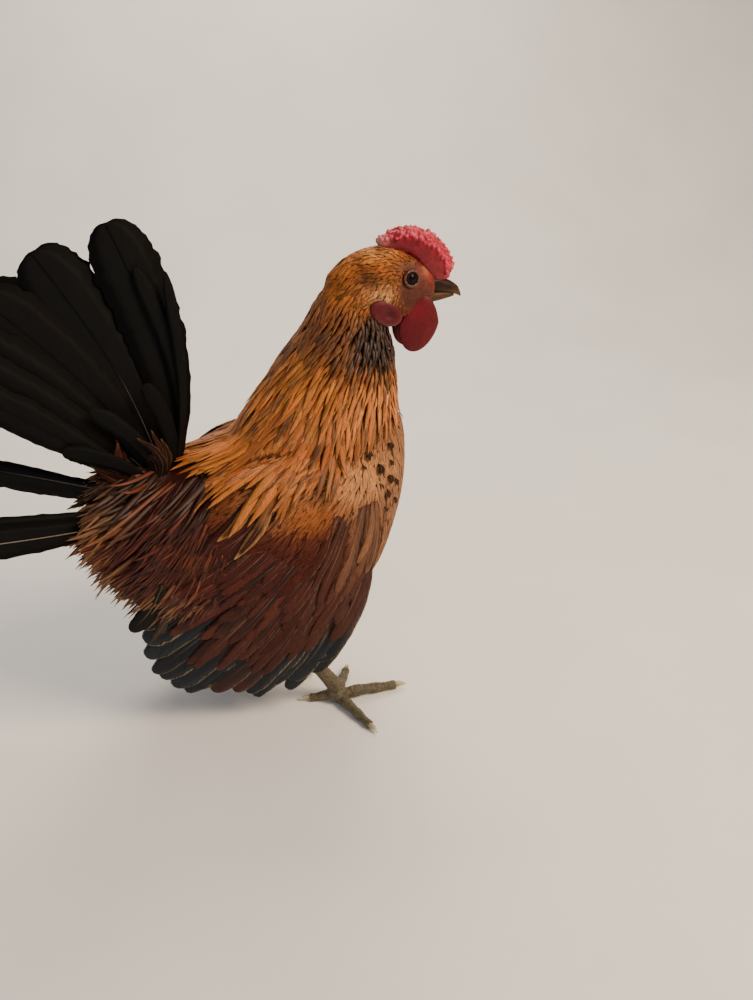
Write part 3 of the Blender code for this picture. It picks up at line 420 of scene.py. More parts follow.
def vane_material(
    name, edge, fleck, spacing=0.55, fine=(0.8, 1.16), bump=0.4, root=0.16, shaft=0.2, rim=(0.6, 1.0),
    tip=1.0, wear=0.55, **constants
):
    """Feather keratin in barbed vanes, with a pale shaft, a worn edge, a dark fleck and painted shade at the
    root, whose strength root gives.

    Barbs of a real feather lie 0.2 to 0.4 mm apart. They are drawn a little coarser, so that they show.
    """
    made, tree, shader = new_material(name, **constants)
    add = partial(node, tree)
    tint, marks = (add("Attribute", attribute_name=kept)["Color"] for kept in ("tint", "marks"))
    streak, worn, number = add("SeparateColor", (marks,))
    share, along, _ = add("SeparateXYZ", (add("UVMap", uv_map="share")[0],))
    across = add("Math", (share, 2.0), **TIMES)[0]
    across = add("Math", (across, 1.0), operation="SUBTRACT")[0]
    across = add("Math", (across, 0.0), operation="ABSOLUTE")[0]
    barb, split = barbs_of(add, add("UVMap", uv_map="vane")[0], number, spacing)
    ragged = add("Math", (barb, 0.5), operation="SUBTRACT")[0]
    ragged = add("Math", (ragged, 0.5), **TIMES)[0]
    ragged = add("Math", (across, ragged), operation="ADD")[0]
    # The worn rim along both edges and round the tip.
    edges = add("MapRange", (ragged, *rim, 0.0, 1.0), **SMOOTH)[0]
    end = add("MapRange", (along, 0.84, 1.0, 0.0, 1.0), **SMOOTH)[0]
    end = add("Math", (end, tip), **TIMES)[0]
    worn_rim = add("Math", (edges, end), operation="MAXIMUM")[0]
    worn_rim = add("Math", (worn_rim, worn), **TIMES)[0]
    pale = add("Mix", {0: wear, 6: tint, 7: (*edge, 1.0)}, **MIXED)[2]
    shade = add("Mix", {0: worn_rim, 6: tint, 7: pale}, **MIXED)[2]
    # The dark streak down the middle of the outer part, short of the tip.
    middle = add("MapRange", (ragged, 0.3, 0.75, 1.0, 0.0), **SMOOTH)[0]
    outer = add("MapRange", (along, 0.3, 0.55, 0.0, 1.0), **SMOOTH)[0]
    short = add("MapRange", (along, 0.84, 0.99, 1.0, 0.0), **SMOOTH)[0]
    for share in (outer, streak, short):
        middle = add("Math", (middle, share), **TIMES)[0]
    shade = add("Mix", {0: middle, 6: shade, 7: (*fleck, 1.0)}, **MIXED)[2]
    # The pale shaft, which thins out towards the tip, and painted shade at the root, where the feathers lying
    # over it would shade it.
    quill = add("MapRange", (across, 0.02, 0.1, shaft, 0.0), **SMOOTH)[0]
    thin = add("MapRange", (along, 0.5, 0.95, 1.0, 0.0), **SMOOTH)[0]
    quill = add("Math", (quill, thin), **TIMES)[0]
    shade = add("Mix", {0: quill, 6: shade, 7: (0.40, 0.31, 0.20, 1.0)}, **MIXED)[2]
    root_shade = add("MapRange", (along, 0.1, 0.6, root, 0.0), **SMOOTH)[0]
    shade = add("Mix", {0: root_shade, 6: shade, 7: (0.02, 0.011, 0.008, 1.0)}, **MIXED)[2]
    light = add("MapRange", (barb, 0.3, 0.7, *fine), **SMOOTH)[0]
    broad = add("MapRange", (split, 0.32, 0.6, 0.86, 1.06), **SMOOTH)[0]
    light = add("Math", (light, broad), **TIMES)[0]
    height = add("Math", (barb, split), operation="ADD")[0]
    dress(tree, shader, shade, light, height, bump, 0.0002)
    return made


def flesh_material(name, pebble, bump, mottle=1.0, **constants):
    """Living skin that takes its colour from the piece, with pebbles of the given size in millimetres."""
    made, tree, shader = new_material(name, **constants)
    add = partial(node, tree)
    tint = add("Attribute", attribute_name="tint")["Color"]
    place = add("TexCoord")["Object"]
    cells = add("TexVoronoi", {"Vector": place, "Scale": 1 / (pebble * MM)})["Distance"]
    blotch = add("TexNoise", {"Vector": place, "Scale": 420.0, "Detail": 4.0})[0]
    light = add("MapRange", (blotch, 0.3, 0.7, 1 - 0.28 * mottle, 1 + 0.2 * mottle), **SMOOTH)[0]
    groove = add("MapRange", (cells, 0.1, 0.7, 1 + 0.08 * mottle, 1 - 0.22 * mottle), **SMOOTH)[0]
    light = add("Math", (light, groove), **TIMES)[0]
    height = add("Math", (blotch, cells), operation="SUBTRACT")[0]
    dress(tree, shader, tint, light, height, bump, pebble * MM * 0.4)
    return made


def horn_material(name, **constants):
    """Grown horn in thin layers: streaks along the piece, darker in the grooves."""
    made, tree, shader = new_material(name, **constants)
    add = partial(node, tree)
    tint = add("Attribute", attribute_name="tint")["Color"]
    place = add("TexCoord")["Object"]
    stretched = add("Mapping", {"Vector": place, "Scale": (180.0, 900.0, 1300.0)})[0]
    streak = add("TexNoise", {"Vector": stretched, "Scale": 1.0, "Detail": 3.0})[0]
    light = add("MapRange", (streak, 0.3, 0.7, 0.72, 1.18), **SMOOTH)[0]
    dress(tree, shader, tint, light, streak, 0.3, 0.0001)
    return made


def eye_material():
    """A wet clear cornea over an iris with fine fibres."""
    made, tree, shader = new_material(
        "eye_wet_cornea", Roughness=0.4, Specular_IOR_Level=0.06, Coat_Weight=0.1, Coat_Roughness=0.05
    )
    add = partial(node, tree)
    tint = add("Attribute", attribute_name="tint")["Color"]
    fibre = add("TexNoise", {"Vector": add("TexCoord")["Object"], "Scale": 2400.0, "Detail": 3.0})[0]
    dress(tree, shader, tint, add("MapRange", (fibre, 0.3, 0.7, 0.7, 1.2), **SMOOTH)[0])
    return made


def feather_finish(name):
    """The shared feather materials, each made once."""
    if name in bpy.data.materials:
        return bpy.data.materials[name]
    fleck = tuple(colour("fleck"))
    if name == "feather_contour":
        # Soft contour vanes: matt, with a pale worn edge and a dark streak where the mark says so.
        return vane_material(
            name, linear("#D0A068"), fleck, fine=(0.86, 1.12), bump=0.12, root=0.06, Roughness=0.75,
            Specular_IOR_Level=0.14,
        )
    if name == "feather_hackle":
        # Hackle keratin, with a silky gloss and loose barbs at the edges.
        return vane_material(name, linear("#E0A052"), fleck, 0.5, Roughness=0.48, Specular_IOR_Level=0.3)
    if name == "feather_flight":
        # Stiff flight vanes: slate with thin buff outer edges and a pale quill.
        return vane_material(
            name, linear("#A3917A"), linear("#121317"), 0.7, root=0.3, shaft=0.22, rim=(0.84, 0.97), tip=0.0,
            wear=0.85, Roughness=0.55, Specular_IOR_Level=0.14,
        )
    # Black tail vanes: close barbs that hardly show, with a faint gloss, and a painted sheen of blue-green
    # black in the streak down each vane.
    return vane_material(
        name, linear("#1A1512"), linear("#0A0D0E"), 0.8, (0.94, 1.06), 0.1, 0.1, 0.0, Roughness=0.7,
        Specular_IOR_Level=0.1,
    )


# Shapes shared by several pieces


def smooth_between(stations, steps):
    """Catmull-Rom rows through the given stations, with that many steps from one to the next."""
    rows = np.array(stations, float)
    rows = np.vstack([2 * rows[0] - rows[1], rows, 2 * rows[-1] - rows[-2]])
    made = []
    for i in range(1, len(rows) - 2):
        a, b, c, d = rows[i - 1 : i + 3]
        for t in np.arange(steps) / steps:
            square, cube = 2 * a - 5 * b + 4 * c - d, 3 * b - a - 3 * c + d
            made.append(0.5 * (2 * b + (c - a) * t + square * t**2 + cube * t**3))
    made.append(rows[-2])
    return np.array(made)


def spline_points(stations, shares):
    """Points at shares from 0 to 1 along a smooth line through the stations."""
    rows = smooth_between(stations, 8)
    at = np.asarray(shares) * (len(rows) - 1)
    return np.stack([np.interp(at, np.arange(len(rows)), rows[:, k]) for k in range(rows.shape[1])], -1)


def oval(across, up, sides, fullness):
    """The two measures of an oval's points; a fuller one has squarer corners."""
    turn = math.tau * np.arange(sides) / sides
    c, s = np.cos(turn), np.sin(turn)
    power = 2.0 / fullness
    return across * np.sign(c) * np.abs(c) ** power, up * np.sign(s) * np.abs(s) ** power


def bridged(bm, rings):
    """Bridges rings of equal count into a closed form, with a point at each end."""
    before = None
    ends = []
    for ring in rings:
        verts = bmesh.ops.create_circle(bm, segments=len(ring), radius=1.0)["verts"]
        edges = list({e for v in verts for e in v.link_edges})
        for v, p in zip(verts, ring):
            v.co = p
        if before:
            bmesh.ops.bridge_loops(bm, edges=before + edges)
        else:
            ends.append(edges)
        before = edges
    ends.append(before)
    for edges in ends:
        cap = bmesh.ops.contextual_create(bm, geom=edges)["faces"]
        bmesh.ops.poke(bm, faces=cap)


def ball(bm, u_segments, v_segments, size, place):
    """A ball scaled to its three half sizes and set in its place."""
    verts = bmesh.ops.create_uvsphere(bm, u_segments=u_segments, v_segments=v_segments, radius=1.0)["verts"]
    bmesh.ops.scale(bm, vec=size, verts=verts)
    bmesh.ops.translate(bm, vec=place, verts=verts)


def rings_along_x(stations, steps, sides, shrink, fullness=2.0):
    """Upright ovals given as x, lowest z, highest z and half width, each made smaller by shrink."""
    rings = []
    for x, low, high, half in smooth_between(stations, steps):
        y, z = oval(max(half - shrink, 0.5), max((high - low) / 2 - shrink, 0.5), sides, fullness)
        rings.append(np.stack((np.full(sides, x), y, (low + high) / 2 + z), -1))
    return rings


def rings_along(points, radii, sides, shape=None):
    """Round rings set across a line of points; shape may change a ring's radius by its place and turn."""
    rings = []
    last = len(points) - 1
    turn = math.tau * np.arange(sides) / sides
    for i, (point, radius) in enumerate(zip(points, radii)):
        along = points[min(i + 1, last)] - points[max(i - 1, 0)]
        along = along / np.linalg.norm(along)
        across = np.cross(along, (0, 0, 1.0))
        across = across / np.linalg.norm(across) if np.linalg.norm(across) > 0.2 else np.array((0, 1.0, 0))
        up = np.cross(across, along)
        reach = radius * (shape(i, turn) if shape else np.ones(sides))
        rings.append(point + np.outer(np.cos(turn) * reach, across) + np.outer(np.sin(turn) * reach, up))
    return rings


def link_new(name, data):
    """A named object of the scene from its data."""
    made = bpy.data.objects.new(name, data)
    bpy.context.scene.collection.objects.link(made)
    return made


def new_object(name, bm):
    """A named object from a bmesh in bird millimetres, moved to the frame, with faces pointing out."""
    bmesh.ops.recalc_face_normals(bm, faces=bm.faces[:])
    bmesh.ops.scale(bm, vec=(MM, MM, MM), verts=bm.verts[:])
    bmesh.ops.translate(bm, vec=SHIFT, verts=bm.verts[:])
    mesh = bpy.data.meshes.new(name)
    bm.to_mesh(mesh)
    bm.free()
    return link_new(name, mesh)


def modify(target, kind, **values):
    modifier = target.modifiers.new(kind.lower(), kind)
    for key, value in values.items():
        setattr(modifier, key, value)


def apply_modifiers(target):
    graph = bpy.context.evaluated_depsgraph_get()
    mesh = bpy.data.meshes.new_from_object(target.evaluated_get(graph))
    target.modifiers.clear()
    target.data = mesh


def fuse(target, cell, factor, iterations):
    """Joins a piece's forms into one surface, with cells of that size in millimetres, and smooths it."""
    modify(target, "REMESH", mode="VOXEL", voxel_size=cell * MM)
    modify(target, "SMOOTH", factor=factor, iterations=iterations)
    apply_modifiers(target)


def bird_points(target):
    """A mesh's vertices in bird millimetres."""
    co = np.zeros(len(target.data.vertices) * 3)
    target.data.vertices.foreach_get("co", co)
    return (co.reshape(-1, 3) - SHIFT) / MM


def set_bird_points(target, points):
    target.data.vertices.foreach_set("co", to_row(points).ravel())
    target.data.update()


def keep_above_floor(target):
    """Flattens what would reach under the sole, and gives the points."""
    points = bird_points(target)
    points[:, 2] = np.maximum(points[:, 2], SOLE_LEVEL)
    set_bird_points(target, points)
    return points


def paint(target, name, colours):
    """Stores a colour for each vertex."""
    colours = np.asarray(colours, np.float32)
    colours = np.concatenate((colours, np.ones((len(colours), 1), np.float32)), 1)
    target.data.attributes.new(name, "FLOAT_COLOR", "POINT").data.foreach_set("color", colours.ravel())


def finish_piece(target, finish, slot, *nodes):
    """Shades a piece smooth, gives it its material, and says what it rides on and stands for; slot is not
    used.
    """
    target.data.shade_smooth()
    target.data.materials.clear()
    target.data.materials.append(finish)
    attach(target, "root")
    if nodes:
        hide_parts(*nodes)


def uneven(points, size):
    """Smooth noise from -1 to 1 at points, with lumps of the given size in millimetres."""
    p = np.asarray(points) / size
    made = np.zeros(p.shape[:-1])
    for k, (a, b, c) in enumerate(((1.0, 0.3, 0.7), (-0.4, 1.1, 0.5), (0.6, -0.8, 1.2), (-1.3, 0.5, -0.6))):
        made += np.sin(p[..., 0] * a + p[..., 1] * b + p[..., 2] * c + 1.7 * k)
    return made / 4


def press(points, centre, reach, move):
    """Moves points near a centre, the nearest most."""
    away = np.linalg.norm((points - centre) / reach, axis=1)
    points += np.exp(-away * away)[:, None] * np.asarray(move, float)


def near(p, x, z, reach_x, reach_z):
    """How near points are to a place seen from the side: 1 there, fading over the reach."""
    return np.exp(-(((p[..., 0] - x) / reach_x) ** 2 + ((p[..., 2] - z) / reach_z) ** 2))


# Skin


def wing_at(x, z, out, sign):
    """Points on the wing's surface, moved outwards by out."""
    heights, reach = zip(*WING_REACH)
    places, taper = zip(*WING_TAPER)
    stand = np.interp(z, heights, reach) * np.interp(x, places, taper)
    return np.stack((x, sign * (stand + out), z), -1)


def wing_normal(x, z, sign):
    run = wing_at(x + 4, z, 0, sign) - wing_at(x - 4, z, 0, sign)
    rise = wing_at(x, z + 4, 0, sign) - wing_at(x, z - 4, 0, sign)
    normal = np.cross(run, rise)
    normal /= np.linalg.norm(normal, axis=-1, keepdims=True)
    return normal * np.sign(normal[..., 1:2] * sign)


def wing_outline(grow):
    """The outline of the wing's arm seen from the side, grown about its middle."""
    outline = smooth_between(WING_ARM + WING_ARM[:1], 3)[:-1]
    middle = outline.mean(axis=0)
    return middle + (outline - middle) * grow


def add_skin_forms(bm):
    """The overlapping forms of torso, neck, head, thighs, wings and tail root."""
    bridged(bm, rings_along_x(TORSO, 3, 28, TORSO_DEPTH, 2.2))
    neck = []
    for z, back, front, half in smooth_between(NECK, 3):
        y, x = oval(half - NECK_DEPTH, (front - back) / 2 - NECK_DEPTH, 24, 2.1)
        neck.append(np.stack(((back + front) / 2 + x, y, np.full(24, z)), -1))
    bridged(bm, neck)
    bridged(bm, rings_along_x(HEAD, 3, 24, HEAD_DEPTH))
    for side, sign in SIDES:
        thigh = [HOCK[side] + np.array((7.0, 0, 38.0)) * t for t in (-0.12, 0.08, 0.3, 0.6, 1.0)]
        bridged(bm, rings_along(np.array(thigh), (3.6, 4.4, 7.2, 12, 15), 20))
        wing = []
        for share, out in ((0.9, -15), (0.98, -6), (0.98, -WING_DEPTH), (0.85, 1.6), (0.55, 3.0), (0.2, 3.6)):
            x, z = wing_outline(share).T
            wing.append(wing_at(x, z, out, sign))
        bridged(bm, wing)
    ball(bm, 20, 12, (13, 10, 15), TAIL_ROOT * (1, 0, 1))


def shape_head(points):
    """Eye hollows, brow, cheek, the line of the mouth and jowl, alike on both sides."""
    for _, sign in SIDES:
        eye, axis = (EYE + EYE_AXIS * 3.0) * both(sign), EYE_AXIS * both(sign)
        press(points, eye, 4.6, -axis * 1.5)
        for turn in np.radians(np.arange(-20, 200, 20)):
            press(points, eye + (math.cos(turn) * 6.4, 0, math.sin(turn) * 6.0), 1.9, axis * 0.34)
        press(points, np.array((36, 12.5 * sign, 219)), 5.0, (0, 0.9 * sign, -0.1))
        for x in np.arange(50, 60, 1.6):
            press(points, np.array((x, 8 * sign, 219.6 - (60 - x) * 0.16)), 1.5, (0, -0.5 * sign, 0))
        press(points, np.array((48, 9 * sign, 213)), 4.0, (0, 0.7 * sign, -0.6))


def above_head_line(p):
    """Height of points above the line from nape to throat, seen from the side."""
    along = (THROAT - NAPE) / np.linalg.norm(THROAT - NAPE)
    middle = (THROAT + NAPE) / 2
    return (p[..., 0] - middle[0]) * -along[1] + (p[..., 2] - middle[1]) * along[0]


def bareness(p):
    """How bare the skin is: 1 on the face round the eye and over the lores, 0 where feathers grow."""
    face = np.hypot((p[..., 0] - 50.5) / 12.5, (p[..., 2] - 225.0) / 15.5)
    lobe = np.hypot((p[..., 0] - 38) / 6, (p[..., 2] - 214) / 6)
    return below(np.minimum(face, lobe), 1.16, 0.5) * (np.abs(p[..., 1]) > 2.0)


# Plumage


def plumage(p):
    """The bird's markings: the colour that a feather has where it grows, at points in bird millimetres."""
    x, side, z = p[..., 0], np.abs(p[..., 1]), p[..., 2]
    on_wing = above(side, 26, 8)
    above_wing = below(x, -34, 12) * below(z, 154, 10) * above(x, -74, 12)
    layers = [
        ("gold", above(z, 160, 30)),
        ("orange", above(z, 188, 30) * 0.7),
        ("gold", near(p, -28, 166, 30, 24) * 0.9),
        ("saddle", below(x, -50, 12) * below(z, 152, 10)),
        ("fluff", below(z, 62, 22) * 0.8),
        ("fluff", near(p, -88, 84, 18, 14) * 0.5),
        ("throat", near(p, 8, 209, 12, 12) * 0.75),
        ("gold", near(p, 12, 190, 16, 9) * 0.5),
        ("throat", near(p, 29, 205.5, 14, 12) * (side < 30) * 1.7),
    ]
    layers += [(name, near(p, *spot) * strength) for name, *spot, strength in COAT_MARKS]
    layers += [
        ("buff", near(p, 16, 146, 18, 9) * (side > 12)),
        ("orange", above_wing * 0.9),
        ("bow", above_wing * 0.5),
        ("bow", below(z, 138, 14) * on_wing),
    ]
    layers += [(name, near(p, *spot) * on_wing * strength) for name, *spot, strength in WING_MARKS]
    layers.append(("wing_low", below(z, 92, 16) * on_wing * 0.8))
    made = colour("breast")
    for name, share in layers:
        made = mixed(made, colour(name), share)
    return made


def lie_of(p, n):
    """Which way feathers point at skin points p with normals n."""
    total = np.zeros_like(p)
    for (x, z), reach, way in LIE:
        d = ((p[:, 0] - x) ** 2 + (p[:, 2] - z) ** 2) / reach**2
        weight = 1.0 / (0.05 + d) ** 2
        way = np.stack((np.full(len(p), way[0]), np.sign(p[:, 1]) * way[1], np.full(len(p), way[2])), -1)
        total += weight[:, None] * way
    total /= np.linalg.norm(total, axis=1, keepdims=True)
    total -= n * np.sum(total * n, axis=1, keepdims=True)
    return total / np.maximum(np.linalg.norm(total, axis=1, keepdims=True), 1e-6)


class Ground:
    """The skin as the coat sees it: a search tree, spread sample points and an unwrap of its own shape."""

    def __init__(self, skin):
        mesh = skin.data
        mesh.calc_loop_triangles()
        points = bird_points(skin)
        corners = np.zeros(len(mesh.loop_triangles) * 3, np.int32)
        mesh.loop_triangles.foreach_get("vertices", corners)
        corners = corners.reshape(-1, 3)
        self.tree = BVHTree.FromPolygons([Vector(p) for p in points], corners.tolist())
        a, b, c = (points[corners[:, k]] for k in range(3))
        face = np.cross(b - a, c - a)
        area = np.linalg.norm(face, axis=1)
        rng = np.random.default_rng(4)
        pick = rng.choice(len(area), SKIN_SAMPLES, p=area / area.sum())
        u, v = rng.random((2, SKIN_SAMPLES))
        over = u + v > 1
        u[over], v[over] = 1 - u[over], 1 - v[over]
        self.points = a[pick] + (b - a)[pick] * u[:, None] + (c - a)[pick] * v[:, None]
        self.normals = face[pick] / area[pick][:, None]
        self.unwrap(skin)

    def unwrap(self, skin):
        """Unwraps a coarse copy of the skin, which gives each root its place on the skin's own map."""
        coarse = skin.copy()
        coarse.data = skin.data.copy()
        bpy.context.scene.collection.objects.link(coarse)
        modify(coarse, "DECIMATE", ratio=0.07)
        modify(coarse, "TRIANGULATE")
        apply_modifiers(coarse)
        for chosen in bpy.context.selected_objects:
            chosen.select_set(False)
        coarse.select_set(True)
        bpy.context.view_layer.objects.active = coarse
        bpy.ops.object.mode_set(mode="EDIT")
        bpy.ops.mesh.select_all(action="SELECT")
        bpy.ops.uv.smart_project(angle_limit=math.radians(66), island_margin=0.006)
        bpy.ops.object.mode_set(mode="OBJECT")
        mesh = coarse.data
        points = [Vector(p) for p in bird_points(coarse)]
        faces = [tuple(p.vertices) for p in mesh.polygons]
        uv = mesh.uv_layers.active.data
        self.patches = [[uv[k].uv.to_3d() for k in p.loop_indices] for p in mesh.polygons]
        self.coarse_faces = [[points[k] for k in face] for face in faces]
        self.coarse = BVHTree.FromPolygons(points, faces)
        bpy.data.objects.remove(coarse)

    def on_map(self, roots):
        """The places of roots on the skin's unwrap."""
        made = []
        for root in roots:
            spot, _, index, _ = self.coarse.find_nearest(Vector(root))
            spot = geometry.barycentric_transform(spot, *self.coarse_faces[index], *self.patches[index])
            made.append((spot.x, spot.y))
        return np.clip(np.array(made), 0.002, 0.998)

    def nearest(self, points):
        found = [self.tree.find_nearest(Vector(p))[:2] for p in points]
        return np.array([f[0] for f in found]), np.array([f[1] for f in found])

    def scatter(self, spacing, wanted):
        """Evenly spread points of the skin where wanted is true, with their normals."""
        keep = wanted(self.points, self.normals)
        points, normals = self.points[keep], self.normals[keep]
        gap = np.broadcast_to(spacing(points) if callable(spacing) else spacing, len(points))
        cell = float(gap.max()) if len(gap) else 1.0
        taken, chosen = {}, []
        steps = [(i, j, k) for i in (-1, 0, 1) for j in (-1, 0, 1) for k in (-1, 0, 1)]
        for index, (p, room) in enumerate(zip(points.tolist(), gap.tolist())):
            home = tuple(int(c // cell) for c in p)
            cells = ((home[0] + i, home[1] + j, home[2] + k) for i, j, k in steps)
            if not any(math.dist(p, q) < room for near_cell in cells for q in taken.get(near_cell, ())):
                taken.setdefault(home, []).append(p)
                chosen.append(index)
        return points[chosen], normals[chosen]


GROUND = {}


def ground():
    if "skin" not in GROUND:
        GROUND["skin"] = Ground(bpy.data.objects["skin"])
    return GROUND["skin"]


def row_places(rows):
    """Where a feather's rows lie from root to tip, closer together at the tip, which is round."""
    return 1 - (1 - np.linspace(0, 1, rows)) ** 1.5


def lay(roots, normals, ways, lengths, rows, base, lift, hug=0.6, sink=0.8):
    """Spines of feathers that leave the skin, follow it at a rising height, and end at their length."""
    here = ground()
    point = roots - normals * sink
    spines, ups = [point], [normals]
    point, way = roots.copy(), ways.copy()
    places = row_places(rows)
    for share, before in zip(places[1:], places):
        wanted = base + lift * share**0.8
        step = point + way * (lengths * (share - before))[:, None]
        near_points, near_normals = here.nearest(step)
        height = np.sum((step - near_points) * near_normals, axis=1)
        pull = 1 - (1 - hug) ** ((share - before) * 8)
        aim = np.where(height > wanted, height + (wanted - height) * pull, wanted)
        step = step + near_normals * (aim - height)[:, None]
        way = unit(step - point)
        spines.append(step)
        ups.append(near_normals)
        point = step
    return np.stack(spines, 1), np.stack(ups, 1)


def outline_at(shape, rows):
    """Widths of a feather at its rows, from pairs of place and width, with a round or pointed end."""
    places, widths = zip(*shape)
    t = row_places(rows)
    start = places[-2]
    end = above(t, start, 1 - start)
    round_end = np.sqrt(1 - end**2) * (widths[-2] - widths[-1]) + widths[-1]
    return np.where(t > start, round_end, np.interp(t, places, widths))


def vane_strips(batch, rng):
    """Points of closed feather strips, with the share across and along and the size of each point.

    Each row has five points above, from edge to edge, and one below the shaft.
    """
    spines, thickness = batch["spines"], batch["thickness"]
    count, rows = spines.shape[:2]
    along = unit(np.gradient(spines, axis=1))
    across = unit(np.cross(along, batch["normals"]))
    up = np.cross(across, along)
    lean = np.broadcast_to(np.asarray(batch["tilt"], float).reshape(-1, 1, 1), (count, 1, 1))
    across, up = across * np.cos(lean) + up * np.sin(lean), up * np.cos(lean) - across * np.sin(lean)
    half = 0.5 * np.asarray(batch["widths"]).reshape(-1, 1) * outline_at(batch["shape"], rows)[None, :]
    points = np.empty((count, rows, 6, 3))
    size = np.empty((count, rows, 6, 2))
    run = np.cumsum(np.linalg.norm(np.diff(spines, axis=1), axis=2), 1)
    run = np.concatenate((np.zeros((count, 1)), run), 1)
    for j, c in enumerate((-1.0, -0.5, 0.0, 0.5, 1.0)):
        reach = half * c * (1 + batch["fray"] * rng.normal(size=(count, rows)) * abs(c))
        rise = thickness * (0.5 if abs(c) < 1 else 0.0) - batch["camber"] * half * c * c
        sweep = 0.25 * half * abs(c)
        points[:, :, j] = spines + across * reach[..., None] + up * rise[..., None] + along * sweep[..., None]
        size[:, :, j] = np.stack((reach, run), -1)
    points[:, :, 5] = spines - up * thickness * 0.5
    size[:, :, 5] = np.stack((np.zeros_like(run), run), -1)
    share = np.empty((count, rows, 6, 2))
    share[..., 0] = np.array((0, 0.25, 0.5, 0.75, 1.0, 0.5))
    share[..., 1] = row_places(rows)[None, :, None]
    return points, share, size


def strip_faces(count, rows):
    """Four-sided faces along the strips, and the two six-sided ends of each."""
    low = ((np.arange(count) * rows)[:, None] + np.arange(rows - 1)[None, :]).reshape(-1, 1) * 6
    high = low + 6
    sides = ((0, 1), (1, 2), (2, 3), (3, 4), (5, 0), (4, 5))
    quads = [np.hstack((low + a, low + b, high + b, high + a)) for a, b in sides]
    roots = (np.arange(count) * rows * 6)[:, None] + np.array((5, 4, 3, 2, 1, 0))
    tips = (np.arange(count) * rows * 6 + (rows - 1) * 6)[:, None] + np.arange(6)
    return np.vstack(quads), np.vstack((roots, tips))


def feathers(spines, normals, widths, tint, marks, shape, camber, thickness, fray=0.05, tilt=0.0):
    """One batch of feathers; a tint is given for each feather, or for each row of each."""
    return dict(
        spines=spines, normals=normals, widths=widths, tint=tint, marks=marks, shape=shape, camber=camber,
        thickness=thickness, fray=fray, tilt=tilt,
    )


def strips_mesh(name, points, quads, ends):
    """A mesh of feather strips, and the point at each of its corners."""
    corner = np.concatenate((quads.ravel(), ends.ravel()))
    starts = np.concatenate((np.arange(len(quads)) * 4, len(quads) * 4 + np.arange(len(ends)) * 6))
    mesh = bpy.data.meshes.new(name)
    mesh.vertices.add(len(points))
    mesh.vertices.foreach_set("co", to_row(points).astype(np.float32).ravel())
    mesh.loops.add(len(corner))
    mesh.loops.foreach_set("vertex_index", corner.astype(np.int32))
    mesh.polygons.add(len(starts))
    mesh.polygons.foreach_set("loop_start", starts.astype(np.int32))
    mesh.update(calc_edges=True)
    return mesh, corner


def coat(name, batches, finish, slot, *nodes):
    """One piece from batches of feathers, with its maps and colours."""
    parts = {key: [] for key in ("points", "OFBake", "share", "vane", "tint", "marks", "quads", "ends")}
    used = 0
    for number, batch in enumerate(batches):
        points, share, size = vane_strips(batch, np.random.default_rng(90 + number))
        count, rows = points.shape[:2]
        tint = np.asarray(batch["tint"], float)
        tint = tint[:, None, None, :] if tint.ndim == 2 else tint[:, :, None, :]
        marks = np.asarray(batch["marks"], float)[:, None, None, :]
        place = ground().on_map(batch["spines"][:, 0])[:, None, None, :] + (share - 0.5) * PATCH
        colours = (count, rows, 6, 3)
        for key, values in (
            ("points", points), ("OFBake", place), ("share", share), ("vane", size),
            ("tint", np.broadcast_to(tint, colours)), ("marks", np.broadcast_to(marks, colours)),
        ):
            parts[key].append(values.reshape(-1, values.shape[-1]))
        quads, ends = strip_faces(count, rows)
        parts["quads"].append(quads + used)
        parts["ends"].append(ends + used)
        used += count * rows * 6
    parts = {key: np.vstack(values) for key, values in parts.items()}
    triangles = len(parts["quads"]) * 2 + len(parts["ends"]) * 4
    if triangles >= MOST_TRIANGLES:
        raise RuntimeError("%s has %d triangles" % (name, triangles))
    mesh, corner = strips_mesh(name, parts["points"], parts["quads"], parts["ends"])
    for key in ("OFBake", "share", "vane"):
        layer = mesh.uv_layers.new(name=key)
        layer.data.foreach_set("uv", parts[key][corner].astype(np.float32).ravel())
    made = link_new(name, mesh)
    paint(made, "tint", parts["tint"])
    paint(made, "marks", parts["marks"])
    finish_piece(made, finish, slot, *nodes)


def varied(tint, rng, dim, warm):
    """Each feather a little lighter, darker, redder or yellower than its neighbours."""
    light = np.exp(rng.normal(size=(len(tint), 1)) * dim)
    hue = rng.normal(size=(len(tint), 1)) * warm
    return np.clip(tint * light * (1 + hue * np.array((0.6, -0.5, -1.0))), 0, 1)


def varied_rows(tint, count, rng, dim, warm):
    """Rows of one colour for that many feathers, each a little different."""
    return varied(np.tile(tint, (count, 1)), rng, dim, warm)


def turned(ways, normals, angles):
    """Ways turned about their normals by the given angles."""
    side = np.cross(normals, ways)
    return ways * np.cos(angles)[:, None] + side * np.sin(angles)[:, None]


def mark_rows(count, rng, fleck=0.0, edge=0.0):
    """Marks of each feather: how strong its fleck and its pale edge are, and a random number."""
    return np.stack((np.broadcast_to(fleck, count), np.broadcast_to(edge, count), rng.random(count)), -1)


# Pieces


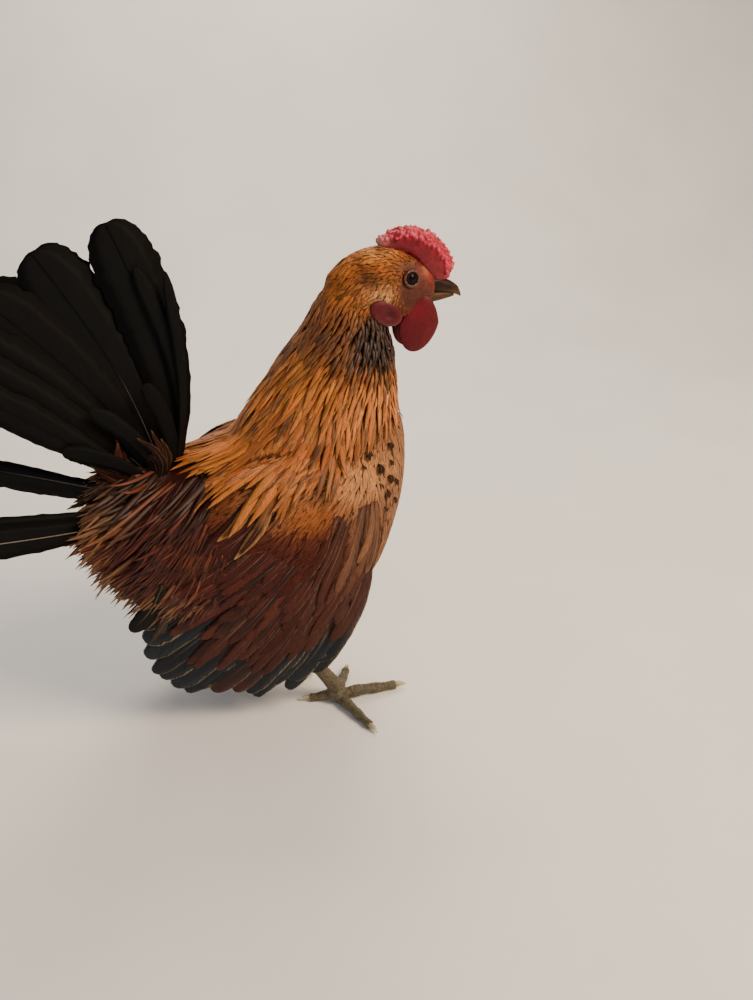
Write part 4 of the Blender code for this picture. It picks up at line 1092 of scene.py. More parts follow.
class COCKEREL_OT_skin(bpy.types.Operator):
    """Build the one skin under the coat, with the bare face"""

    bl_idname = "cockerel.skin"
    bl_label = "Skin"

    def execute(self, context):
        bm = bmesh.new()
        add_skin_forms(bm)
        skin = new_object("skin", bm)
        fuse(skin, 1.25, 0.5, 7)
        points = bird_points(skin)
        shape_head(points)
        set_bird_points(skin, points)
        bare = bareness(points) * (above_head_line(points) > -4)
        face = mixed(colour("face"), colour("comb"), near(points, 61, 235, 8, 7) * 0.75)
        for code, *spot, strength in FACE_TONES:
            face = mixed(face, linear(code), near(points, *spot) * strength)
        # Where feathers grow, the skin takes the plumage's colour at three quarters: painted shade for the
        # skin seen between feathers.
        paint(skin, "tint", mixed(plumage(points) * 0.75, face, bare))
        # Bare face skin: thin, finely pebbled, slightly moist, with blood under it.
        finish = flesh_material("face_skin_bare", 0.55, 0.6, Roughness=0.55, Specular_IOR_Level=0.25)
        finish_piece(skin, finish, "plumage_gold", "torso", "neck", "head", "thigh_right", "thigh_left")
        return {"FINISHED"}


def in_wing(p, grow=1.0):
    """Whether points lie inside the outline of the wing's arm, on the outer side of the body."""
    outline = wing_outline(grow)
    x, z = p[:, 0], p[:, 2]
    inside = np.zeros(len(p), bool)
    for (x0, z0), (x1, z1) in zip(outline, np.roll(outline, -1, axis=0)):
        crosses = (z0 > z) != (z1 > z)
        with np.errstate(divide="ignore", invalid="ignore"):
            inside ^= crosses & (x < (x1 - x0) * (z - z0) / (z1 - z0) + x0)
    return inside & (np.abs(p[:, 1]) > 25)


def on_neck(p):
    return (p[:, 2] > 156 + np.clip(p[:, 0] + 46, 0, 99) * 0.19) & (above_head_line(p) <= 1)


def on_rump(p):
    return (p[:, 0] < -50) & (p[:, 2] > 92) & ~in_wing(p, 0.94)


class COCKEREL_OT_head_coat(bpy.types.Operator):
    """Build the small feathers of the head and throat"""

    bl_idname = "cockerel.head_coat"
    bl_label = "Head Feathers"

    def execute(self, context):
        rng = np.random.default_rng(21)

        def wanted(p, n):
            scattered = bareness(p) < rng.random(len(p)) * 0.95 + 0.02
            return (above_head_line(p) > -7) & scattered & (p[:, 0] < 58)

        def spacing(p):
            return np.clip(0.95 + (48 - p[:, 0]) * 0.013, 0.95, 1.45)

        roots, normals = ground().scatter(spacing, wanted)
        count = len(roots)
        back, low, bare = below(roots[:, 0], 50, 40), below(roots[:, 2], 214, 12), bareness(roots)
        lengths = (3.0 + 8.5 * back**1.5 + 4 * low) * rng.uniform(0.8, 1.2, count)
        lengths *= 1 - 0.5 * bare
        swirl = rng.normal(size=count) * 0.2 + uneven(roots, 3.5) * 0.45
        ways = turned(lie_of(roots, normals), normals, swirl)
        spines, ups = lay(roots, normals, ways, lengths, 5, 0.1, 0.35 + 0.6 * back, 0.8, 0.5)
        clump = np.clip(uneven(roots, 2.2) * 1.5, -1, 1)
        tint = varied(plumage(roots), rng, 0.16, 0.08) * (1 + 0.3 * clump[:, None])
        tint = mixed(tint, colour("face"), bare * 0.7)
        fleck = (rng.random(count) < 0.12 - 0.2 * clump) * rng.uniform(0.3, 0.7, count)
        marks = mark_rows(count, rng, fleck, 0.3)
        batch = feathers(
            spines, ups, 1.2 + 0.9 * back + 0.5 * low, tint, marks, LANCE_SHAPE, 0.1, 0.05,
            tilt=rng.normal(size=count) * 0.1,
        )
        coat("coat_head", [batch], feather_finish("feather_contour"), "plumage_gold")
        return {"FINISHED"}


def neck_turn(p):
    """How far towards the back a neck point lies: 1 at the back, 0 at the front."""
    levels, backs, fronts, _ = zip(*NECK)
    back, front = np.interp(p[:, 2], levels, backs), np.interp(p[:, 2], levels, fronts)
    return np.clip((front - p[:, 0]) / (front - back), 0, 1)


def hackle_ways(roots, normals, rear, rng):
    """Down and back round the neck, with a gentle swirl."""
    side = np.sign(roots[:, 1]) * np.sqrt(np.clip(1 - (2 * rear - 1) ** 2, 0, 1))
    ways = np.stack((-0.85 * rear - 0.12, 0.12 * side, -np.ones(len(roots))), -1)
    ways = unit(ways - normals * np.sum(ways * normals, axis=1, keepdims=True))
    return turned(ways, normals, rng.normal(size=len(roots)) * 0.13 + uneven(roots, 8.0) * 0.3)


def hackle_batch(roots, normals, rng, scale=1.0, stand=0.7):
    """Long lances, longest at the shoulders and the back of the neck, with dark flecks in clumps."""
    count, rear = len(roots), neck_turn(roots)
    longest = settings().hackle_length / MM
    levels, lengths = (150, 157, 166, 180, 192, 205, 218, 230), (1.0, 1.0, 0.95, 0.82, 0.68, 0.5, 0.34, 0.22)
    length = np.interp(roots[:, 2], levels, lengths) * longest * (0.40 + 0.60 * rear**1.2) * scale
    length *= rng.uniform(0.8, 1.15, count)
    ways = hackle_ways(roots, normals, rear, rng)
    high = above(roots[:, 2], 176, 26) * below(roots[:, 2], 224, 18)
    lift = (0.085 + 0.09 * high) * length
    spines, ups = lay(roots, normals, ways, length, 8, stand + 0.6 * high, lift, 0.3, 1.2)
    width = settings().hackle_width / MM * np.clip(length / 36, 0.4, 1.1)
    low = mixed(colour("gold"), colour("orange"), rear * rng.random(count) * 0.7)
    tint = mixed(plumage(roots), low, below(roots[:, 2], 180, 14) * 0.9)
    tint = mixed(tint, colour("orange"), near(roots, 0, 158, 20, 14) * 0.7)
    tint = varied(tint, rng, 0.18, 0.08)
    clump = np.clip(uneven(roots, 4.5) * 1.6 + rng.normal(size=count) * 0.35, -1, 1)
    tint = tint * (1 + 0.26 * clump[:, None])
    fleck = (rng.random(count) < 0.26 - 0.2 * clump) * rng.uniform(0.45, 0.85, count)
    marks = mark_rows(count, rng, fleck, rng.uniform(0, 0.45, count))
    tilt = np.sign(roots[:, 1]) * 0.1 + rng.normal(size=count) * 0.18
    return feathers(spines, ups, width, tint, marks, LANCE_SHAPE, 0.3, 0.1, 0.07, tilt)


class COCKEREL_OT_hackle(bpy.types.Operator):
    """Build the hackle of the neck and its cape over the shoulders"""

    bl_idname = "cockerel.hackle"
    bl_label = "Hackle"

    def execute(self, context):
        rng = np.random.default_rng(31)
        finish = feather_finish("feather_hackle")

        def spacing(p):
            return np.interp(p[:, 2], (160, 225), (2.5, 1.7))

        def on_shoulders(p, n):
            level = (p[:, 2] > 147) & (p[:, 2] < 168)
            return level & (p[:, 0] > -37) & (p[:, 0] < 4) & (np.abs(p[:, 1]) < 38) & (n[:, 2] > -0.2)

        for side, sign in SIDES:
            roots = ground().scatter(spacing, lambda p, n: on_neck(p) & (p[:, 1] * sign > 0))
            coat("coat_hackle_" + side, [hackle_batch(*roots, rng)], finish, "plumage_gold")
        roots = ground().scatter(2.6, on_shoulders)
        coat("coat_cape", [hackle_batch(*roots, rng, 0.94, 1.4)], finish, "plumage_gold")
        return {"FINISHED"}


class COCKEREL_OT_body_coat(bpy.types.Operator):
    """Build the contour feathers of breast, back, flanks, belly and thighs"""

    bl_idname = "cockerel.body_coat"
    bl_label = "Body Feathers"

    def spots(self, rng):
        """Short dark feathers laid on the coat where the photo shows spots, alike on both sides."""
        roots, normals, sizes = [], [], []
        for x, z, size in BREAST_SPOTS:
            for sign in (-1, 1):
                start, way = Vector((x, 90 * sign, z + size / 2)), Vector((0, -sign, 0))
                point, normal = ground().tree.ray_cast(start, way)[:2]
                roots.append(point)
                normals.append(normal)
                sizes.append(size * rng.uniform(0.9, 1.2))
        roots, normals, sizes = np.array(roots), np.array(normals), np.array(sizes)
        count = len(roots)
        ways = turned(lie_of(roots, normals), normals, rng.normal(size=count) * 0.3)
        spines, ups = lay(roots, normals, ways, sizes * 1.3, 7, 1.9, 0.5, 0.9, 0.0)
        tint = varied_rows(colour("fleck"), count, rng, 0.2, 0.05)
        return feathers(spines, ups, sizes, tint, mark_rows(count, rng, 0.0, 0.3), SOFT_SHAPE, 0.1, 0.1, 0.12)

    def zone(
        self, name, spacing, wanted, length, width, lift, rng, shape=LANCE_SHAPE, fray=0.09, rows=6, more=()
    ):
        """One piece of contour feathers that grow where wanted is true."""
        roots, normals = ground().scatter(spacing, wanted)
        count = len(roots)
        lengths = length * rng.uniform(0.8, 1.15, count)
        ways = turned(lie_of(roots, normals), normals, rng.normal(size=count) * 0.2)
        spines, ups = lay(roots, normals, ways, lengths, rows, 0.3, lift * 0.75)
        fleck = (rng.random(count) < 0.04) * 0.5
        widths = width * rng.uniform(0.9, 1.1, count)
        tint = varied(plumage(roots), rng, 0.1, 0.04)
        tilt = rng.normal(size=count) * 0.06
        marks = mark_rows(count, rng, fleck, 0.12)
        batch = feathers(spines, ups, widths, tint, marks, shape, 0.1, 0.07, fray, tilt)
        coat(name, [batch, *more], feather_finish("feather_contour"), "plumage_gold")

    def execute(self, context):
        rng = np.random.default_rng(41)
        length = settings().body_feather / MM

        def plain(p):
            return ~on_neck(p) & ~in_wing(p, 0.96) & ~on_rump(p) & (above_head_line(p) < 0)

        def behind(low, high):
            return lambda p, n: plain(p) & (p[:, 0] <= 6) & (p[:, 2] > low) & (p[:, 2] <= high)

        def before(p, n):
            return plain(p) & (p[:, 0] > 6)

        spots = self.spots(rng)
        self.zone("coat_breast", 1.6, before, length * 0.85, 2.6, 0.6, rng, fray=0.22, rows=5, more=[spots])
        self.zone("coat_back", 2.6, behind(92, 999), length * 1.2, 4.4, 1.4, rng)
        self.zone("coat_belly", 3.6, behind(50, 92), length * 1.45, 7.5, 3.0, rng, SOFT_SHAPE, 0.16)
        self.zone("coat_thighs", 2.8, behind(-999, 50), length, 5.5, 1.6, rng, SOFT_SHAPE, 0.14)
        return {"FINISHED"}


def room_to(outline, places, ways):
    """How far each place is from a closed outline along its way, seen from the side."""
    ends = np.array(outline, float)
    edge = np.roll(ends, -1, axis=0) - ends
    away = ends[None] - places[:, None]
    across = ways[:, None, 0] * edge[None, :, 1] - ways[:, None, 1] * edge[None, :, 0]
    across = np.where(np.abs(across) < 1e-6, 1e-6, across)
    run = (away[..., 0] * edge[None, :, 1] - away[..., 1] * edge[None, :, 0]) / across
    share = (away[..., 0] * ways[:, None, 1] - away[..., 1] * ways[:, None, 0]) / across
    return np.where((share >= 0) & (share <= 1) & (run > 0), run, 0).max(axis=1)


def over_wing(roots, ways, lengths, rows, out, droop, fill):
    """Spines that start in the skin, come out over the wing, or part of the way, and hang down its rear."""
    t = row_places(rows)[None, :]
    x = roots[:, :1] + ways[:, :1] * lengths[:, None] * t
    z = roots[:, 2:] + ways[:, 1:] * lengths[:, None] * t - droop * lengths[:, None] * t**2
    sign = np.sign(roots[:, 1:2])
    spots = wing_at(x, z, out[:, None] * t**0.5, 1)
    share = np.clip(t / 0.7, 0, 1)
    share = share * share * (3 - 2 * share) * fill[:, None]
    y = np.abs(roots[:, 1:2]) * (1 - share) + spots[..., 1] * share
    for _ in range(3):
        y[:, 1:-1] = (y[:, :-2] + 2 * y[:, 1:-1] + y[:, 2:]) / 4
    normals = wing_normal(x, z, 1)
    normals[..., 1] *= sign
    return np.stack((x, sign * y, z), -1), normals


def saddle_tint(tips, rng, rows):
    """Red brown saddle feathers: golden in front, with buff tips at the far rear and along the bottom."""
    count = len(tips)
    bright = above(tips[:, 0], -84, 18) * (rng.random(count) < 0.3)
    base = mixed(colour("saddle"), colour("orange"), bright * 0.45)
    dark = above(tips[:, 2], 108, 24) * 0.6 + 0.15
    base = mixed(base, linear("#200E0A"), (rng.random(count) < dark * 1.3) * 0.6 + dark * 0.3)
    base = mixed(base, linear("#7A3A1C"), (rng.random(count) < 0.12) * 0.5)
    base = varied(base, rng, 0.13, 0.05)
    pale = np.clip(below(tips[:, 0], -106, 8) + below(tips[:, 2], 90, 7) * 0.8, 0, 1)
    along = above(row_places(rows), 0.5, 0.35)[None, :]
    share = pale[:, None] * along * (rng.random((count, 1)) < 0.5) * 0.65
    return mixed(np.repeat(base[:, None], rows, 1), linear("#85603C"), share)


class COCKEREL_OT_saddle(bpy.types.Operator):
    """Build the saddle feathers and the odd feathers below them"""

    bl_idname = "cockerel.saddle"
    bl_label = "Saddle"

    def execute(self, context):
        rng = np.random.default_rng(51)
        longest = settings().saddle_length / MM

        def wanted(p, n):
            behind = (p[:, 0] < -42) & (p[:, 2] > 86) & ~in_wing(p, 0.9)
            return behind & (n[:, 2] > -0.6) & (np.abs(n[:, 0]) < 0.97)

        roots, normals = ground().scatter(1.5, wanted)
        count = len(roots)
        back, low = below(roots[:, 0], -44, 44), below(roots[:, 2], 128, 40)
        slope = -56 + 34 * back + 6 * low + uneven(roots, 7.0) * 12 + rng.normal(size=count) * 7
        slope = np.radians(slope)
        ways = np.stack((-np.cos(slope), np.sin(slope)), -1)
        room = room_to(SADDLE_OUTLINE, roots[:, [0, 2]], ways)
        lengths = np.minimum(longest * rng.uniform(0.75, 1.1, count), room * rng.uniform(0.78, 1.03, count))
        kept = lengths > 7
        roots, normals, ways, lengths = roots[kept], normals[kept], ways[kept], lengths[kept]
        count = len(roots)
        fill = np.where(roots[:, 0] > -64, 1.0, rng.uniform(0.15, 0.9, count))
        out, droop = rng.uniform(2.2, 6.0, count), rng.normal(size=(count, 1)) * 0.09 + 0.06
        spines, ups = over_wing(roots - normals, ways, lengths, 7, out, droop, fill)
        widths = 3.0 * rng.uniform(0.7, 1.2, count)
        tint = saddle_tint(spines[:, -1], rng, 7)
        marks = mark_rows(count, rng, (rng.random(count) < 0.15) * 0.6, rng.uniform(0, 0.14, count))
        tilt = np.sign(spines[:, 0, 1]) * 0.1 + rng.normal(size=count) * 0.12
        batch = feathers(spines, ups, widths, tint, marks, LANCE_SHAPE, 0.2, 0.08, 0.16, tilt)
        coat("coat_saddle", [batch], feather_finish("feather_hackle"), "plumage_red")
        self.single_feathers(rng)
        return {"FINISHED"}

    def single_feathers(self, rng):
        """Odd feathers that the photo shows: streaked lances on the wing, a dark stub and a ragged one."""
        batches = []
        for root, tip, width, code, shape, fray, fleck in ODD_FEATHERS:
            ends = (np.array([root], float), np.array([tip], float))
            for _, sign in SIDES:
                spines, ups = wing_spines(sign, *ends, 2.0, (4.6, 5.2 + 1.6 * fleck), 12)
                tint, marks = np.array([linear(code)]), mark_rows(1, rng, fleck, fleck)
                batches.append(
                    feathers(spines, ups, np.array([width]), tint, marks, shape, 0.2, 0.25, fray, sign * 0.1)
                )
        coat("feathers_odd", batches, feather_finish("feather_contour"), "plumage_black")


def wing_spines(sign, roots, tips, bow, out, rows):
    """Feather spines on the wing's surface, from root to tip as seen from the side."""
    t = row_places(rows)
    along = tips - roots
    side = np.stack((-along[:, 1], along[:, 0]), -1) / np.linalg.norm(along, axis=1, keepdims=True)
    bend = np.sin(np.pi * t)[None, :, None] * np.broadcast_to(bow, len(roots))[:, None, None]
    spots = roots[:, None] + along[:, None] * t[None, :, None] + side[:, None] * bend
    rise = out[0] + (out[1] - out[0]) * t[None, :] ** 0.6
    points = wing_at(spots[..., 0], spots[..., 1], rise, sign)
    return points, wing_normal(spots[..., 0], spots[..., 1], sign)


def flight_batch(sign, rng):
    """The flight feathers of one wing: red brown vanes that turn slate towards the tip."""
    count = settings().flights
    rows = 22
    share = np.linspace(0, 1, count)
    roots, tips = spline_points(FLIGHT_ROOTS, share), spline_points(FLIGHT_TIPS, share)
    tips = tips + rng.normal(size=tips.shape) * 1.8 - np.array((1.0, 1.0))
    spines, normals = wing_spines(sign, roots, tips, 4 - 3 * share, (-1.2, 1.6), rows)
    red = varied_rows(colour("wing_low"), count, rng, 0.16, 0.04)
    dark = varied_rows(colour("slate"), count, rng, 0.2, 0.02)
    reddish = (tips[:, 0] > -70) & (tips[:, 0] < -50) & (tips[:, 1] < 40)
    dark = np.where(reddish[:, None], mixed(red, dark, 0.25), dark)
    turn = above(row_places(rows)[None, :] - 0.36 - 0.2 * rng.random((count, 1)), 0, 0.2)
    widths = 13.0 * rng.uniform(0.85, 1.15, count)
    tint = mixed(red[:, None], dark[:, None], turn)
    tilt = sign * (0.14 + rng.normal(size=count) * 0.05)
    marks = mark_rows(count, rng, 0.5, rng.uniform(0.5, 1.0, count))
    return feathers(spines, normals, widths, tint, marks, FLIGHT_SHAPE, 0.1, 0.3, 0.03, tilt)


def covert_batch(sign, tier, rng):
    """One tier of a wing's coverts, which overlap the feathers below."""
    roots, tips, count, width, low, high = tier
    share = np.clip(np.linspace(0, 1, count) + rng.normal(size=count) * 0.012, 0, 1)
    roots, tips = spline_points(roots, share), spline_points(tips, share)
    tips = roots + (tips - roots) * rng.uniform(0.72, 1.16, (count, 1)) + rng.normal(size=tips.shape) * 2.2
    out = rng.uniform(0, 0.8, (count, 1))
    spines, normals = wing_spines(sign, roots, tips, rng.uniform(-1, 4, count), (low + out, high + out), 10)
    middle = spines[:, 6]
    front = above(roots[:, 0], 2, 12) * above(middle[:, 2], 84, 24)
    tint = mixed(plumage(middle), colour("wing_low"), 0.3)
    tint = varied(mixed(tint, colour("breast"), front * 0.75), rng, 0.16, 0.05)
    widths = width * rng.uniform(0.8, 1.15, count)
    marks = mark_rows(count, rng, (rng.random(count) < 0.2) * 0.6, rng.uniform(0.0, 0.7, count) ** 2)
    tilt = sign * 0.1 + rng.normal(size=count) * 0.1
    return feathers(spines, normals, widths, tint, marks, BODY_SHAPE, 0.14, 0.12, 0.1, tilt)


def bow_batch(sign, rng):
    """Small soft feathers over the arm of one wing."""

    def wanted(p, n):
        return in_wing(p) & (p[:, 1] * sign > 0) & (n[:, 1] * sign > 0.2)

    roots, normals = ground().scatter(1.5, wanted)
    count = len(roots)
    down = below(roots[:, 2], 140, 50)
    lengths = (11 + 6 * down) * rng.uniform(0.8, 1.15, count)
    ways = turned(lie_of(roots, normals), normals, rng.normal(size=count) * 0.2)
    spines, ups = lay(roots, normals, ways, lengths, 5, 0.4, 0.3 + 0.7 * down)
    tint = varied(plumage(roots), rng, 0.09, 0.03)
    marks = mark_rows(count, rng, 0.0, 0.08)
    tilt = rng.normal(size=count) * 0.03
    return feathers(spines, ups, 2.2 + 1.6 * down, tint, marks, LANCE_SHAPE, 0.05, 0.08, 0.2, tilt)


class COCKEREL_OT_wings(bpy.types.Operator):
    """Build the flight feathers, coverts and bow of both wings"""

    bl_idname = "cockerel.wings"
    bl_label = "Wings"

    def execute(self, context):
        rng = np.random.default_rng(61)
        for side, sign in SIDES:
            vanes = [flight_batch(sign, rng)] + [covert_batch(sign, tier, rng) for tier in COVERT_TIERS]
            coat("wing_vanes_" + side, vanes, feather_finish("feather_flight"), "plumage_red", "wing_" + side)
            bow = bow_batch(sign, rng)
            coat("coat_wing_bow_" + side, [bow], feather_finish("feather_contour"), "plumage_red")
        return {"FINISHED"}


def tail_spines(sign, feather_list, base_out, rows):
    """Spines and normals of tail feathers, which spread from the root and bow forwards."""
    spines, normals = [], []
    t = row_places(rows)
    out = np.array((0.0, sign, 0.0))
    for root, tip, stand, _, bow in feather_list:
        root, tip = np.array(root, float), np.array(tip, float)
        along = tip - root
        side = np.array((along[1], -along[0])) / np.linalg.norm(along)
        spot = root + along * t[:, None] + side * (bow * np.sin(np.pi * t**0.9))[:, None]
        y = sign * (base_out + (stand - base_out) * t**0.8)
        spines.append(np.stack((spot[:, 0], y, spot[:, 1]), -1))
        way = unit(np.array((along[0], sign * (stand - base_out), along[1])))
        normals.append(np.broadcast_to(unit(out - way * way.dot(out)), spines[-1].shape))
    return np.stack(spines), np.stack(normals)


def tail_batch(sign, feather_list, base_out, rng, rows, edge, shape, tilt, fray=0.02, spread=1.0):
    """Black vanes of the tail, each as wide as its row of the list says."""
    count = len(feather_list)
    spines, normals = tail_spines(sign, feather_list, base_out, rows)
    widths = np.array([f[3] for f in feather_list]) * spread
    tint = varied_rows(colour("tail"), count, rng, 0.18, 0.05)
    marks = mark_rows(count, rng, 0.4, edge)
    return feathers(spines, normals, widths, tint, marks, shape, 0.05, 0.2, fray, sign * tilt)


def quill_batch(sign, feather_list, base_out, rng, shows):
    """The pale shafts of tail feathers, standing a little out of both faces and fading towards the tip."""
    rows, count = 24, len(feather_list)
    spines, normals = tail_spines(sign, feather_list, base_out, rows)
    fade = below(np.linspace(0, 1, rows)[None, :], shows[:, None], 0.25)
    tint = mixed(colour("tail"), linear("#75695D"), fade)
    return feathers(
        spines, normals, np.full(count, 0.7), tint, mark_rows(count, rng), QUILL_SHAPE, 0.5, 1.1, 0.0
    )


def curled_coverts(rng):
    """Small dark coverts round the root of the tail, with pale curling edges."""
    made = []
    for k in range(CURLED_COVERTS):
        turn = math.radians(86 + 108 * (k + 0.5) / CURLED_COVERTS + rng.normal() * 5)
        way = np.array((math.cos(turn), math.sin(turn)))
        length = rng.uniform(24, 40)
        root = TAIL_ROOT[[0, 2]] + way * rng.uniform(1, 6) + rng.normal(size=2) * 2.5
        made.append((root, root + way * length, rng.uniform(8, 13), rng.uniform(4, 6), rng.uniform(-8, 9)))
    return made


class COCKEREL_OT_tail(bpy.types.Operator):
    """Build the fan of the tail with its sickles and coverts"""

    bl_idname = "cockerel.tail"
    bl_label = "Tail"

    def execute(self, context):
        rng = np.random.default_rng(71)
        for side, sign in SIDES:
            batches = [
                tail_batch(sign, TAIL_FEATHERS, 3.0, rng, 44, 0.0, TAIL_SHAPE, 0.12, 0.035, 1.16),
                quill_batch(sign, TAIL_FEATHERS, 3.0, rng, TAIL_SHAFTS),
                tail_batch(sign, TAIL_SICKLES, 4.5, rng, 36, 0.0, TAIL_SHAPE, 0.12),
                tail_batch(sign, TAIL_COVERTS, 5.6, rng, 24, 0.0, TAIL_SHAPE, 0.12, 0.04),
            ]
            finish = feather_finish("feather_tail")
            coat("tail_vanes_" + side, batches, finish, "plumage_black", "tail_" + side)
            curls = tail_batch(sign, curled_coverts(rng), 6.5, rng, 12, 0.16, LANCE_SHAPE, 0.2, 0.12)
            curls["tint"] = mixed(curls["tint"], colour("saddle"), rng.random(CURLED_COVERTS) * 0.6)
            coat("tail_curls_" + side, [curls], feather_finish("feather_contour"), "plumage_black")
        return {"FINISHED"}


def comb_rings(rows):
    """Ovals across the comb's line, sunk into the head behind its first few, and their outward ways."""
    rings, outs = [], []
    for i, (x, z, up, half) in enumerate(rows):
        before, after = rows[max(i - 1, 0)], rows[min(i + 1, len(rows) - 1)]
        along = unit(np.array((after[0] - before[0], 0, after[1] - before[1])))
        out = np.array((-along[2], 0, along[0]))
        sunk = COMB_SUNK * min(1, i / 6)
        across, rise = oval(half, up + sunk, 18, 2.3)
        outs.append(out)
        rings.append(np.array((x, 0, z)) - out * sunk + np.outer(across, (0, 1, 0)) + np.outer(rise, out))
    return rings, outs


def add_beads(bm, rows, outs):
    """Beads of uneven size all over the comb, which touch but hardly overlap."""
    rng = random.Random(7)
    radius = settings().comb_bead / MM
    beads = []
    for _ in range(BEAD_TRIES):
        at = rng.uniform(1.0, len(rows) - 3.0)
        low = int(at)
        x, z, up, half = rows[low] * (1 - at + low) + rows[low + 1] * (at - low)
        lean = math.radians(rng.uniform(-84, 84))
        out, side = outs[low] * math.cos(lean), np.array((0, math.sin(lean), 0))
        spot = np.array((x, 0, z)) + out * up * 0.94 + side * half * 0.94
        size = radius * rng.uniform(0.6, 1.15) * min(1.0, 0.35 + half / 5)
        if any(np.linalg.norm(spot - other) <= (size + room) * 0.86 for other, room in beads):
            continue
        beads.append((spot, size))
        way = Vector(out / up + side / half).normalized()
        turn = way.to_track_quat("Z", "Y").to_matrix()
        bead = bmesh.ops.create_icosphere(bm, subdivisions=2, radius=size)["verts"]
        bmesh.ops.scale(bm, vec=(1, 1, rng.uniform(1.1, 1.7)), verts=bead)
        bmesh.ops.rotate(bm, cent=(0, 0, 0), matrix=turn, verts=bead)
        bmesh.ops.translate(bm, vec=Vector(spot) + way * rng.uniform(0.0, 0.5), verts=bead)


def comb_tint(points, rows, outs, core):
    """Painted shade in dark red at the foot, red above it, and a painted highlight in pink where a bead
    stands out of the comb's core, mostly on the upper side.
    """
    rise = []
    for p in points:
        spot, normal = core.find_nearest(Vector(p))[:2]
        rise.append((Vector(p) - spot).dot(normal))
    rise = np.array(rise) + uneven(points, 3.0) * 0.25
    middles = np.stack((rows[:, 0], np.zeros(len(rows)), rows[:, 1]), -1)
    nearest = np.linalg.norm((points[:, None] - middles[None])[..., ::2], axis=2).argmin(axis=1)
    height = np.sum((points - middles[nearest]) * np.array(outs)[nearest], axis=1) / rows[nearest, 2]
    crest = above(height, -0.15, 0.6)
    # Painted shade: darker red towards the comb's foot.
    tint = mixed(linear("#7E0A1E"), colour("comb"), crest)
    # Painted highlight: pink on the beads that stand out, most on the upper side.
    tint = mixed(tint, colour("comb_highlight"), above(rise, 0.3, 1.2) * (0.15 + 0.85 * crest))
    return mixed(tint, linear("#D98A86"), near(points, 33, 247.5, 4, 3) * 0.7)


class COCKEREL_OT_comb(bpy.types.Operator):
    """Build the low comb with its beads"""

    bl_idname = "cockerel.comb"
    bl_label = "Comb"

    def execute(self, context):
        rows = smooth_between(COMB, 5)
        rings, outs = comb_rings(rows)
        bm = bmesh.new()
        bridged(bm, rings)
        bmesh.ops.recalc_face_normals(bm, faces=bm.faces[:])
        core = BVHTree.FromBMesh(bm)
        add_beads(bm, rows, outs)
        comb = new_object("comb_beaded", bm)
        fuse(comb, 0.42, 0.5, 3)
        paint(comb, "tint", comb_tint(bird_points(comb), rows, outs, core))
        # Comb skin: thick, moist and blood red, with fine papillae.
        finish = flesh_material(
            "comb_skin_beaded", 0.5, 0.5, Roughness=0.34, Subsurface_Weight=0.06, Subsurface_Scale=0.001,
            Specular_IOR_Level=0.35,
        )
        finish_piece(comb, finish, "comb_skin", "comb")
        return {"FINISHED"}


class COCKEREL_OT_wattles(bpy.types.Operator):
    """Build the wattles and ear lobes"""

    bl_idname = "cockerel.wattles"
    bl_label = "Wattles and Lobes"

    def wattle(self, side, sign):
        """A thin flap with shallow creases, narrower at the top and flared at the bottom."""
        bm = bmesh.new()
        bmesh.ops.create_uvsphere(bm, u_segments=56, v_segments=40, radius=1.0)
        for v in bm.verts:
            x, y, z = v.co
            narrow = 1.0 - 0.34 * max(z, 0) + 0.06 * min(z, 0)
            crease = 0.35 * math.sin(3.0 * x) * (1 - z * z) + 0.10 * math.sin(9 * x + 3 * z) * (1 - z * z)
            flare = 0.25 * max(-z, 0) ** 2
            y = y * (1 + 0.5 * max(z, 0)) + crease * 0.4 + flare * 0.6
            v.co = (np.array((x * narrow + 0.26 * z, y, z)) * WATTLE_SIZE + WATTLE) * both(sign)
        made = new_object("wattle_flap_" + side, bm)
        points = bird_points(made)
        tint = mixed(colour("wattle"), linear("#7E1424"), near(points, 50, 214, 6, 5) * 0.5)
        paint(made, "tint", mixed(tint, linear("#4A0A10"), np.clip(uneven(points, 4.0), 0, 1) * 0.4))
        return made

    def lobe(self, side, sign):
        """A small oval pad with a dent in its middle, painted shade in the dent, and a paler lower rim."""
        bm = bmesh.new()
        bmesh.ops.create_uvsphere(bm, u_segments=44, v_segments=30, radius=1.0)
        turn = Matrix.Rotation(math.radians(28), 3, "Y") @ Matrix.Rotation(math.radians(-8 * sign), 3, "Z")
        rims = []
        for v in bm.verts:
            rims.append(math.hypot(v.co.x - 0.15, v.co.z))
            dent = 0.9 * math.exp(-((rims[-1] / 0.42) ** 2))
            v.co.y = v.co.y * (1 - dent * 0.5) - sign * dent * 0.35
            v.co = turn @ Vector(np.array(v.co) * EARLOBE_SIZE) + Vector(EARLOBE * both(sign))
        made = new_object("lobe_" + side, bm)
        rims = np.array(rims)
        pale = above(rims, 0.62, 0.3) * np.clip((216 - bird_points(made)[:, 2]) / 6, 0.15, 1)
        tint = mixed(linear("#520E18"), linear("#824644"), pale * 0.7)
        # Painted shade: the darkest red lies in the dent.
        paint(made, "tint", mixed(tint, linear("#3A0710"), below(rims, 0.5, 0.5) * 0.8))
        return made

    def execute(self, context):
        # Wattle skin: thin soft flaps with shallow creases.
        finish = flesh_material(
            "wattle_skin_folded", 0.9, 0.25, 0.4, Roughness=0.5, Subsurface_Weight=0.05,
            Subsurface_Scale=0.001, Specular_IOR_Level=0.2,
        )
        for side, sign in SIDES:
            finish_piece(self.wattle(side, sign), finish, "comb_skin", "wattle_" + side)
            finish_piece(self.lobe(side, sign), finish, "comb_skin", "earlobe_" + side)
        return {"FINISHED"}


